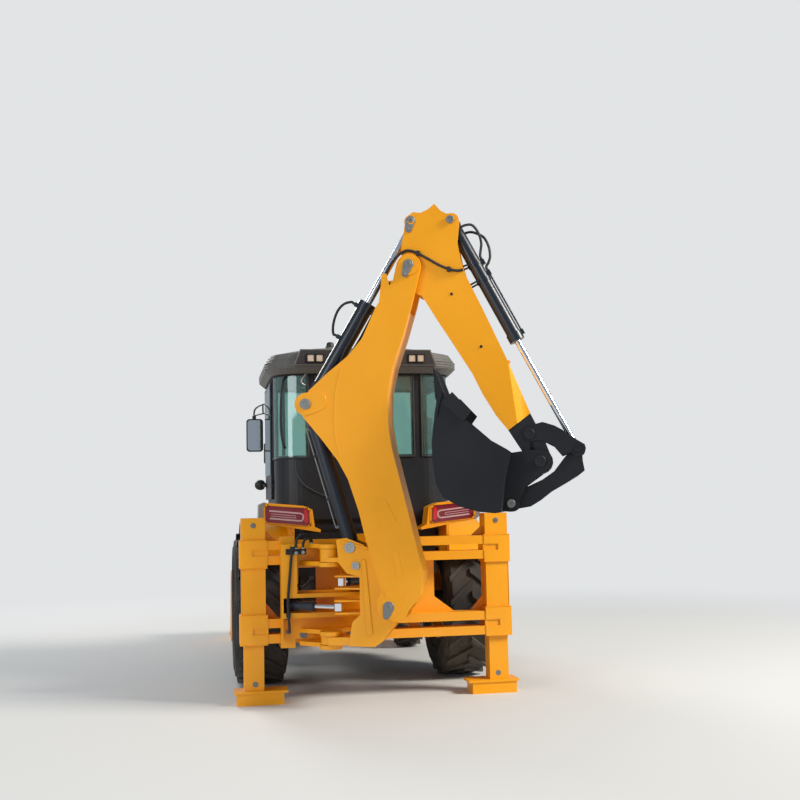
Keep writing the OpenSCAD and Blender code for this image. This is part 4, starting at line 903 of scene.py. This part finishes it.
def frame_of(shape, outline, width, base, u, v, thick):
    """A raised frame round an outline, one bar to each side."""
    for i, point in enumerate(outline):
        shape.plate(strip([point, outline[(i + 1) % len(outline)]], width), base, u, v, thick)
    for point in outline:
        shape.lathe([(0, width / 2), (thick, width / 2)], Vector(base) + (u * point[0] + v * point[1]) * MM,
                    u.cross(v), 10)


def dress_rear_frame():
    """Bolts and welds of the stabiliser casings, and the pins of the legs."""
    discs = Shape()
    for side in SIDES:
        disc(discs, side * 1050, CASING_FACE, 1478, 22, 12, 7)
        discs.lathe(stud_profile(11, 8), at(side * 1050, CASING_FACE - 3, 1478), REAR, 6)
    discs.done("casing_bolts", ZINC, "machine")
    welds = Shape()
    for side in SIDES:
        for z in (490, 735, 1122, 1354):
            weld_bead(welds, places([(935, -1187, z), (1050, -1187.5, z), (1165, -1187, z)], side), 3.5)
        for z in (500, 700, 1148, 1348):
            weld_bead(welds, places([(934, y, z) for y in (-1180, -1100, -1022)], side), 4)
        edge = [(x, CASING_FACE - 1, z) for x, z in ((1150, 740), (1151, 930), (1150, 1118))]
        weld_bead(welds, places(edge, side), 3)
    welds.done("rear_frame_welds", YELLOW, "machine")
    for side, body in ((-1, "leg_left"), (1, "leg_right")):
        pins = Shape()
        # Flush, as it slides up into the casing
        pins.lathe([(-3, 24), (0.4, 24), (0.55, 23), (0.55, 9), (0.2, 8), (0.2, 0)],
                   at(side * 1040, LEG_FACE, 168), REAR)
        pins.done(body + "_pin", ZINC, body)


def dress_carriage():
    """Lock pistons, hose block, couplings, hoses and welds of the carriage."""
    rings = Shape()
    for x, z, *sizes in ((-644, 566, 30, 17, 12), (-244, 566, 30, 17, 12), (-768, 593, 20, 10, 8),
                         (-120, 593, 20, 10, 8)):
        disc(rings, x, PLATE_FACE, z, *sizes)
    rings.done("carriage_lock_pistons", ZINC, "carriage")
    block = Shape()
    block.box((-792, HOSE_PLATE - 13, 1236), (-622, HOSE_PLATE + 1, 1282), 3)
    block.done("hose_block", BLACK, "carriage")
    # Couplings low enough for the swing post and the boom to pass at full slew
    nuts = Shape()
    for x, z in ((-707, 1250), (-649, 1255)):
        nuts.lathe(stud_profile(17, 11), at(x, HOSE_PLATE - 12, z), REAR, 6)
        nuts.lathe(stud_profile(11, 23, 2, 2), at(x, HOSE_PLATE - 12, z), REAR, 16)
    for place in places([(-649, HOSE_PLATE - 6, 1281), (-571, -1292, 1319.5),
                         (-707, HOSE_PLATE - 6, 1281), (-577, -1252, 1319.5)]):
        nuts.lathe(stud_profile(13, 12), place, UP, 6)
    nuts.done("hose_couplings", STEEL, "carriage")
    hoses = Shape()
    hoses.tube(places([(-649, -1346.6, 1292), (-649, -1346, 1316), (-640, -1345, 1344), (-616, -1339, 1364),
                       (-590, -1322, 1364), (-574, -1300, 1350), (-571, -1292, 1331)]), 11)
    hoses.tube(places([(-707, -1346.6, 1292), (-707, -1346, 1322), (-698, -1344, 1364), (-668, -1339, 1392),
                       (-630, -1324, 1398), (-597, -1292, 1384), (-580, -1260, 1356), (-577, -1252, 1331)]), 11)
    hoses.done("post_hoses", HOSE, "carriage")
    welds = Shape()
    for z in (713, 760, 877, 916):
        weld_bead(welds, places([(x, -1219, z) for x in (-810, -620, -440, -250, -80)]), 4)
    welds.done("carriage_welds", YELLOW, "carriage")


def dress_post():
    """Rings and ribs on the swing post's casting."""
    rings = Shape()
    for place, outer, inner in CASTING_RINGS:
        for side in SIDES:
            turned_on(rings, place, CASTING_FACE, side, ring_profile(outer, inner, 12))
            turned_on(rings, place, CASTING_FACE + 6, side, stud_profile(inner * 0.5, 6), 6)
    rings.done("post_pin_rings", STEEL, "swing_post")
    ribs = Shape()
    for side in SIDES:
        flat_on(ribs, pill((300, 1180), (340, 620), 20, 26), CASTING_FACE, side, 8, 5)
        flat_on(ribs, pill((130, 1340), (330, 1285), 12, 12), CASTING_FACE, side, 8, 5)
    ribs.done("post_casting_ribs", YELLOW, "swing_post")


# The outline of the right lens
LENS = [(565, 1468), (904, 1503), (922, 1518), (922, 1629), (904, 1637), (572, 1605), (557, 1588), (553, 1482)]


def dress_tail_lamps():
    """Guides, ribs, surrounds and ends of the tail lamps, and the flares outside them."""
    guides, dark, trim, ends, flare = Shape(), Shape(), Shape(), Shape(), Shape()
    for side in SIDES:
        def flip(points):
            return [(side * x, z) for x, z in points]

        base = at(0, LENS_FACE, 0)
        for line, width in (([(896, 1598), (620, 1568), (600, 1552), (606, 1512), (628, 1504), (890, 1532)], 13),
                            ([(880, 1572), (668, 1549), (666, 1530), (880, 1553)], 5)):
            for a, b in zip(line, line[1:]):
                guides.plate(strip(flip([a, b]), width), base, SIDE, UP, 2.2)
        frame_of(dark, flip(LENS), 9, base, SIDE, UP, 3.5)
        for z in (1488, 1512, 1616):
            dark.plate(strip(flip([(575, z), (908, z + 34 if z < 1600 else z + 14)]), 3), base, SIDE, UP, 1.6)
        frame_of(trim, flip([(540, 1462), (912, 1492), (938, 1512), (938, 1640), (908, 1650), (562, 1619),
                             (540, 1592), (536, 1474)]), 12, at(0, -862, 0), SIDE, UP, 5)
        ends.plate(flip([(558, 1487), (592, 1491), (592, 1600), (574, 1600), (561, 1587)]), base, SIDE, UP, 3)
        flare.plate(flip([(926, 1486), (953, 1487), (989, 1517), (984, 1653), (942, 1671), (926, 1669)]),
                    at(0, -636, 0), SIDE, UP, 229, 2)
    ends.done("tail_lamp_ends", BRIGHT_LENS, "machine")
    flare.done("fender_flares", FLARE, "machine")
    guides.done("tail_lamp_guides", GUIDE_LENS, "machine")
    dark.done("tail_lamp_ribs", RED_LENS, "machine")
    trim.done("tail_lamp_surrounds", YELLOW, "machine")


# Cab and roof

EAVE_Z, WAIST_Z, CAB_X, CAB_REAR = 2830, 2088, 810, -600
SEAL_Y, SEAL_HEIGHTS = -607, (2068, 2300, 2600, 2818)


def dress_roof():
    """Lamp panels and frames, side ribs, beacon cover and hatch of the roof."""
    panels, frames = Shape(), Shape()
    for side in SIDES:
        outline = [(side * x, z) for x, z in ((262, 2900), (640, 2900), (588, 3030), (262, 3030))]
        panels.plate(outline, at(0, -726, 0), SIDE, UP, 4, 1.5)
        for x0, x1 in ((390, 458), (470, 538)):
            frame_of(frames, quad(side * x0, side * x1, 2922, 2990), 9, at(0, -729, 0), SIDE, UP, 12)
    panels.done("roof_lamp_panels", ROOF_PANEL, "machine")
    frames.done("roof_lamp_frames", BLACK, "machine")
    ribs = Shape()
    for i in range(5):
        z = 2892 + i * 24
        share = max(0.0, (z - 2940) / 64)
        half, rear = 893 - 43 * share, -700 + 20 * share
        for side in SIDES:
            corner = arc((half - 340, rear + 340), 340, -74, 0, 12)
            ribs.tube(places([(x, y, z) for x, y in corner + [(half, 300), (half, 700)]], side), 4, 8, 2)
    ribs.done("roof_side_ribs", ROOF, "machine")
    beacon = Shape()
    beacon.lathe([(0, 44), (6, 44), (8, 38), (34, 36), (44, 30), (48, 18), (49, 0)], at(-267, -200, 3130), UP)
    beacon.done("beacon_cover", PLASTIC, "machine")
    hatch = Shape()
    hatch.box((-300, -350, 3066), (300, 420, 3078), 6)
    for y in (-250, -80, 90, 260):
        hatch.box((-260, y, 3077), (260, y + 40, 3084), 4)
    hatch.done("roof_hatch", ROOF, "machine")


def dress_cab():
    """Window seals, grab rails, cables, wiper, latch, ribs and lever boots at the rear of the cab."""
    seals = Shape()
    for side in SIDES:
        for z in (WAIST_Z - 22, EAVE_Z - 10):
            corner = arc((CAB_X - 270, CAB_REAR + 270), 277, -86, 0, 10)
            seals.tube(places([(x, y, z) for x, y in corner + [(817, -290), (817, -240)]], side), 7, 8, 2)
        for x, y, radius in ((522, SEAL_Y, 7), (817, -238, 7), (450, SEAL_Y, 8)):
            seals.tube(places([(x, y, z) for z in SEAL_HEIGHTS], side), radius, 8, 1)
    for z in (SEAL_HEIGHTS[0], SEAL_HEIGHTS[-1]):
        seals.tube(places([(x, SEAL_Y, z) for x in (-450, -150, 150, 450)]), 8, 8, 1)
    seals.done("window_seals", HOSE, "machine")
    handles = Shape()
    for side in SIDES:
        handles.tube(places([(700, -545, 2826), (742, -560, 2760), (762, -562, 2600),
                             (766, -560, 2350), (745, -545, 2190), (722, -522, 2160)], side), 11)
    handles.tube(places([(-120, -604, 2130), (-120, -640, 2135), (0, -650, 2137), (120, -640, 2135),
                         (120, -604, 2130)]), 10)
    handles.done("cab_grab_rails", BLACK, "machine")
    wires = Shape()
    for i, (x, y) in enumerate(((655, -575), (672, -566), (690, -556))):
        wires.tube(places([(x, y, 2828), (x + 44, y - 6, 2700), (x + 82, y + 2, 2560), (x + 100, y + 26, 2380),
                           (x + 92, y + 40 + i * 4, 2150), (x + 60, y + 24 + i * 6, 2060)]), 5, 10)
    wires.tube(places([(-641, -582, 2084), (-638, -588, 1953), (-592, -602, 1850), (-524, -606, 1791),
                       (-410, -606, 1732), (-330, -606, 1700)]), 6)
    wires.done("corner_cables", HOSE, "machine")
    wiper = Shape()
    wiper.lathe([(0, 26), (14, 26), (22, 16), (24, 0)], at(60, -606, 2772), REAR)
    wiper.tube(places([(60, -622, 2772), (20, -628, 2640), (-10, -620, 2520)]), 6, 8, 3)
    wiper.tube(places([(40, -614, 2740), (5, -615, 2560), (-34, -614, 2330)]), 5, 8, 3)
    wiper.done("rear_wiper", PLASTIC, "machine")
    hook = Shape()
    hook.tube(places([(-533, -612, 2838), (-562, -616, 2797), (-579, -614, 2762), (-572, -610, 2738),
                      (-546, -606, 2724)]), 8)
    hook.done("window_latch", STEEL, "machine")
    body = Shape()
    for z in (1100, 1250, 1400):
        body.box((-560, -566, z), (560, -559.5, z + 60), 4)
    body.done("cab_lower_ribs", BLACK, "machine")
    stalks = Shape()
    for x in (-150, 150):
        stalks.lathe([(0, 26), (10, 24), (40, 17), (52, 14), (52, 0)], at(x, -470, 1760), UP)
        stalks.lathe([(0, 20), (14, 27), (40, 32), (64, 27), (76, 15), (78, 0)], at(x, -470, 1938), UP)
    stalks.done("lever_boots_and_knobs", PLASTIC, "machine")


MIRROR_X, STEM_X, MIRROR_Z, MOUNT = 921, 926, 2385, (796, 804)


def dress_mirrors():
    """Mirrors with rounded heads on bent arms, in place of the plain ones."""
    faces, heads = Shape(), Shape()
    outline = []
    for i, corner in enumerate(((54, 140), (-54, 140), (-54, -140), (54, -140))):
        outline += arc(corner, 34, 90 * i, 90 * i + 90, 6)
    for side in SIDES:
        x, stem = side * MIRROR_X, side * STEM_X
        faces.plate([(0.88 * u, 0.93 * v) for u, v in outline], at(x, 1181, MIRROR_Z), SIDE, UP, 4, 1)
        heads.plate(outline, at(x, 1216, MIRROR_Z), SIDE, UP, 36, 10)
        rim = [(u * 0.94, v * 0.965) for u, v in outline]
        for a, b in zip(rim, rim[1:] + rim[:1]):
            heads.plate(strip([a, b], 8), at(x, 1182, MIRROR_Z), SIDE, UP, 6)
        heads.tube(places([(STEM_X, 1198, 2540), (STEM_X, 1198, 2618), (914, 1165, 2662), (868, 1000, 2688),
                           (800, 806, 2690)], side), 9)
        heads.tube(places([(STEM_X, 1198, 2594), (874, 1010, 2594), (800, 806, 2594)], side), 8)
        heads.tube(places([(846, 926, 2594), (848, 930, 2688)], side), 8)
        heads.lathe(stud_profile(20, 34, 4, 6), at(stem, 1198, 2560), UP, 24)
        for z in (2594, 2690):
            heads.lathe(stud_profile(20, 12, 3, 6), at(side * MOUNT[0], MOUNT[1], z), (side, 0, 0), 20)
        # Round cap, side lamp and hinge cover on the front corner of the cab
        heads.lathe([(0, 34), (14, 38), (20, 25), (44, 23), (52, 42), (80, 53), (112, 50), (136, 35), (146, 18),
                     (148, 0)], at(side * MOUNT[0], MOUNT[1], 1853), (side, 0, 0), 36)
        heads.box((side * 822 - 26, 786, 2072), (side * 822 + 26, 838, 2278), 12)
        heads.box((side * 814 - 20, 782, 2626), (side * 814 + 20, 836, 2822), 12)
    faces.done("mirror_faces", MIRROR, "machine")
    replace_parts(heads.done("mirror_heads", PLASTIC, "machine"), "mirrors")


# Millimetres that a cushion falls at its seams and at its edges, and its rows of faces each way
SEAM_DEPTH, EDGE_FALL, CELLS = 7, 26, 28


def bench(outline_size, low, high, crown, seams):
    """A cushion with crowned top, rounded sides and sewn channels."""
    (x0, x1), (y0, y1) = outline_size
    bm = bmesh.new()
    rows = []
    for i in range(CELLS + 1):
        row = []
        for j in range(CELLS + 1):
            a, b = i / CELLS * 2 - 1, j / CELLS * 2 - 1
            edge = max(abs(a), abs(b))
            drop = max(0.0, (edge - 0.8) / 0.2)
            channel = min(abs(b - c) for c in seams)
            dip = SEAM_DEPTH * math.exp(-(channel * 14) ** 2)
            z = high - crown * (a * a + b * b) * 0.5 - EDGE_FALL * drop * drop - dip
            pull = 1 - 0.03 * drop * drop
            row.append(bm.verts.new(at((x0 + x1) / 2 + a * (x1 - x0) / 2 * pull,
                                       (y0 + y1) / 2 + b * (y1 - y0) / 2 * pull, z)))
        rows.append(row)
    for first, second in zip(rows, rows[1:]):
        for j in range(CELLS):
            bm.faces.new((first[j], second[j], second[j + 1], first[j + 1]))
    rim = [row[0] for row in rows] + rows[-1][1:] + [row[-1] for row in rows[::-1][1:]] + rows[0][1:-1][::-1]
    last = rim
    middle = at((x0 + x1) / 2, (y0 + y1) / 2, 0)
    for share, grow in ((0.25, 1.01), (0.75, 1.0), (1.0, 0.95)):
        level = []
        for vert in rim:
            place = vert.co
            level.append(bm.verts.new((middle.x + (place.x - middle.x) * grow, middle.y + (place.y - middle.y) * grow,
                                       place.z + (low * MM - place.z) * share)))
        for k in range(len(rim)):
            m = (k + 1) % len(rim)
            bm.faces.new((last[k], last[m], level[m], level[k]))
        last = level
    bm.faces.new(last[::-1])
    bmesh.ops.recalc_face_normals(bm, faces=bm.faces)
    return bm


def dress_seat():
    """The seat: stand, shells and cushions, in place of the plain one."""
    base = bench(((-248, 248), (-256, 238)), 1452, 1540, 14, (-0.45, 0.0, 0.45))
    cushion = place_mesh("seat_cushion", settle(base, "seat_cushion"), VINYL, "machine", 60)
    # The back is made lying down, then stood up
    back = bench(((-228, 228), (-320, 320)), 0, 88, 14, (-0.5, -0.1, 0.3, 0.62))
    upright = Matrix.Translation(at(0, -352, 1762)) @ Matrix.Rotation(math.radians(90), 4, "X")
    bmesh.ops.transform(back, matrix=upright @ Matrix.Translation(-AXLE), verts=back.verts)
    rest = place_mesh("seat_back", settle(back, "seat_back"), VINYL, "machine", 60)
    parts = Shape()
    for low, high, ease in (((-110, -110, 1030), (110, 110, 1060), 8), ((-75, -75, 1058), (75, 75, 1400), 20),
                            ((-225, -240, 1398), (225, 225, 1456), 14), ((-215, -382, 1440), (215, -350, 2076), 12),
                            ((-60, -366, 1400), (60, -200, 1442), 8)):
        parts.box(low, high, ease)
    for side in SIDES:
        parts.box((side * 262 - 30, -190, 1600), (side * 262 + 30, 140, 1640), 12)
        parts.box((side * 262 - 12, -200, 1440), (side * 262 + 12, -160, 1606), 6)
        parts.box((side * 240 - 16, -200, 1430), (side * 240 + 30, -160, 1452), 4)
    stand = parts.done("seat_frame", PLASTIC, "machine")
    for piece in (cushion, rest, stand):
        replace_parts(piece, "seat")


# Wheels


def dress_wheels():
    """Bolts and hub caps of the wheels, and the rings on the walls of their tyres."""
    for side, word in WORDS:
        axis = Vector((side, 0, 0))
        for end, x, y, z, hub, bolts, size, rim_r, tyre_w, tyre_r in (
                ("rear", 950, 0, 700, 130, 8, 15, 340, 480, 700),
                ("front", 850, 2180, 450, 90, 6, 12, 225, 330, 450)):
            body = f"wheel_{end}_{word}"
            face = at(side * (x + 20), y, z)
            bolt_circle(f"wheel_bolts_{end}_{word}", body, face, axis, hub + 34, bolts, size, 12, ZINC)
            cap = Shape()
            cap.lathe([(0, hub * 0.92), (8, hub * 0.9), (10, hub * 0.62), (34, hub * 0.56), (40, hub * 0.48),
                       (41, hub * 0.2), (38, hub * 0.14), (38, 0)], at(side * (x + 79), y, z), axis, 48)
            cap.done(f"hub_cap_{end}_{word}", YELLOW, body)
            bolt_circle(f"hub_bolts_{end}_{word}", body, at(side * (x + 80), y, z), axis, hub * 0.76, 8, 8, 7, ZINC)
            bead = Shape()
            for across in SIDES:
                for share in (0.3, 0.62):
                    ring = rim_r + (tyre_r - rim_r) * share
                    rise = tyre_w / 2 - 3 if share > 0.4 else tyre_w / 2 - 14
                    bead.hoop([(-8, ring - 6), (2, ring - 3), (2, ring + 3), (-8, ring + 6)],
                              at(side * x + across * rise, y, z), (across, 0, 0))
            bead.done(f"sidewall_rings_{end}_{word}", RUBBER, body)


# Front end and loader

BONNET_X, TANK_X, STACK = 395, 860, (330, 918)
ARM_PIVOT, LOADER_PIN, TILT_ROD = (1050, 1640), (3090, 300), (3117, 559)
ARM_OUT, EAR_OUT, LOADER_HALF = 620, 648, 1130


def dress_bonnet():
    """Louvers, trim, caps and latch of the bonnet, frames of the front lamps and clamps of the exhaust."""
    for side, word in WORDS:
        louver = Shape().box((side * BONNET_X - 4, -9, -85), (side * BONNET_X + 4, 9, 85), 3)
        bmesh.ops.translate(louver.bm, vec=-AXLE, verts=louver.bm.verts)
        row_of(f"bonnet_louvers_{word}", "bonnet", louver, at(0, 1750, 1330), at(0, 2350, 1290), 13, BLACK)
        trim = Shape()
        trim.tube(places([(side * BONNET_X, y, 1150) for y in (1000, 1600, 2200, 2690)]), 5, 8, 2)
        trim.done(f"bonnet_trim_{word}", HOSE, "bonnet")
    cap = Shape()
    cap.lathe([(0, 42), (8, 44), (26, 40), (30, 30), (32, 0)], at(210, 1250, 1572), UP, 24)
    cap.lathe(stud_profile(30, 14, 4, 10), at(-180, 2500, 1449), UP, 24)
    cap.box((-60, 2694, 1352), (60, 2712, 1378), 5)
    cap.done("bonnet_caps_and_latch", PLASTIC, "bonnet")
    frames = Shape()
    for side in SIDES:
        frame_of(frames, quad(-side * 150, -side * 370, 1010, 1180), 14, at(0, 2722, 0), -SIDE, UP, 16)
        frame_of(frames, quad(-side * 420, -side * 600, EAVE_Z + 55, EAVE_Z + 120), 9, at(0, 917, 0), -SIDE, UP, 14)
    frames.done("front_lamp_frames", PLASTIC, "machine")
    stack = Shape()
    for z in (1345, 1862, 2250):
        stack.hoop([(-9, 39), (9, 39), (9, 47), (-9, 47)], at(*STACK, z), UP, 40)
        stack.box((STACK[0] + 43, STACK[1] - 7, z - 8), (STACK[0] + 63, STACK[1] + 7, z + 8), 2)
    stack.lathe([(0, 52), (5, 52), (5, 0)], at(*STACK, 2706), Vector((0, -0.3, 1)), 32)
    stack.tube(line_of(STACK[0], [(STACK[1] - 34, 2690), (STACK[1] - 56, 2716), (STACK[1] - 40, 2724)]), 6)
    stack.done("exhaust_clamps", PIPE, "machine")


def dress_sides():
    """Treads, straps and caps of the side boxes, and the front wiper."""
    for z in (500, 780):
        for side, word in WORDS:
            bar = Shape().box((-4, -135, 0), (4, 135, 5), 1.5)
            bmesh.ops.translate(bar.bm, vec=-AXLE, verts=bar.bm.verts)
            row_of(f"step_treads_{word}_{z}", "machine", bar, at(side * 876, 950, z - 1), at(side * 988, 950, z - 1),
                   7, ZINC)
    trim = Shape()
    trim.lathe([(0, 52), (10, 54), (34, 50), (38, 38), (40, 0)], at(-740, 1150, 919), UP, 32)
    trim.lathe(stud_profile(30, 34, 4, 10), at(790, 1180, 919), UP, 24)
    for side in SIDES:
        for y in (850, 1190):
            for low, high in (((TANK_X - 3, y - 17, 500), (TANK_X + 4, y + 17, 900)),
                              ((650, y - 17, 914), (TANK_X + 4, y + 17, 924))):
                (x0, y0, z0), (x1, y1, z1) = low, high
                trim.box((min(side * x0, side * x1), y0, z0), (max(side * x0, side * x1), y1, z1), 2)
    trim.done("tank_straps_and_caps", BLACK, "machine")
    wiper = Shape()
    wiper.lathe([(0, 28), (14, 28), (22, 16), (24, 0)], at(-160, 856, 2148), FORE)
    wiper.tube(places([(-160, 872, 2148), (-90, 880, 2330), (-40, 872, 2480)]), 6, 8, 3)
    wiper.tube(places([(-120, 865, 2170), (-62, 866, 2420), (-10, 865, 2700)]), 5, 8, 3)
    wiper.done("front_wiper", PLASTIC, "machine")


def dress_loader():
    """Pins, hoses and clips of the loader's arms, and bolts and welds of its bucket."""
    pins = Shape()
    for side in SIDES:
        pivot = at(side * ARM_OUT, *ARM_PIVOT)
        pins.lathe(ring_profile(52, 28.6, 9), pivot, (side, 0, 0))
        pins.lathe(stud_profile(17.68, 12), pivot, (side, 0, 0), 6)
    pins.done("loader_arm_pins", ZINC, "loader_arms")
    ends = Shape()
    for side in SIDES:
        ends.lathe(ring_profile(42, 22, 9), at(side * EAR_OUT, *LOADER_PIN), (side, 0, 0))
        ends.lathe(stud_profile(15, 12), at(side * EAR_OUT, *LOADER_PIN), (side, 0, 0), 6)
        ends.lathe(ring_profile(34, 17, 7), at(side * 510, *TILT_ROD), (side, 0, 0))
    ends.done("loader_bucket_pins", ZINC, "loader_bucket")
    hoses = Shape()
    for side in SIDES:
        x = side * (ARM_OUT + 13)
        for points in (((1120, 1640), (1300, 1618), (1700, 1510), (2100, 1400), (2440, 1300), (2560, 1240)),
                       ((1120, 1608), (1300, 1586), (1700, 1476), (2100, 1366), (2430, 1268), (2540, 1205))):
            hoses.tube(line_of(x, points), 11)
    hoses.done("loader_arm_hoses", HOSE, "loader_arms")
    clips = Shape()
    for side in SIDES:
        for y, z in ((1300, 1602), (1700, 1493), (2100, 1383), (2480, 1260)):
            clips.box((side * (ARM_OUT + 14) - 15, y - 14, z - 36), (side * (ARM_OUT + 14) + 15, y + 14, z + 36), 4)
    clips.done("loader_hose_clips", BLACK, "loader_arms")
    row_of("cutting_edge_bolts", "loader_bucket", bolt_head(14, 10, UP), at(90 - LOADER_HALF, 3940, 33),
           at(LOADER_HALF - 90, 3940, 33), 11, ZINC)
    welds = Shape()
    for side in SIDES:
        weld_bead(welds, line_of(side * (LOADER_HALF - 21), (
            (3420, 800), (3310, 740), (3226, 600), (3196, 398), (3200, 150), (3235, 70), (3320, 32))), 6)
    welds.done("loader_bucket_welds", YELLOW, "loader_bucket")


# Crossing hoses


def add_elbow_hoses():
    """The hoses that cross from the boom to the dipper over their joint."""
    shape = Shape()
    shape.tube([hoe(u, n, z) for u, n, z in (
        (505, -133, 3462), (519, -133, 3488), (562, -127, 3569), (589, -123, 3607), (623, -120, 3645),
        (657, -118, 3676), (700, -117, 3693), (740, -117, 3689), (778, -117, 3674), (800, -117, 3662))], 11)
    piece = shape.done("elbow_hose", HOSE, None)
    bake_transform(piece)


dress_boom()
dress_dipper()
split_dipper()
dress_rear_frame()
dress_carriage()
dress_post()
dress_tail_lamps()
dress_roof()
dress_cab()
dress_mirrors()
dress_seat()
dress_wheels()
dress_bonnet()
dress_sides()
dress_loader()
add_elbow_hoses()
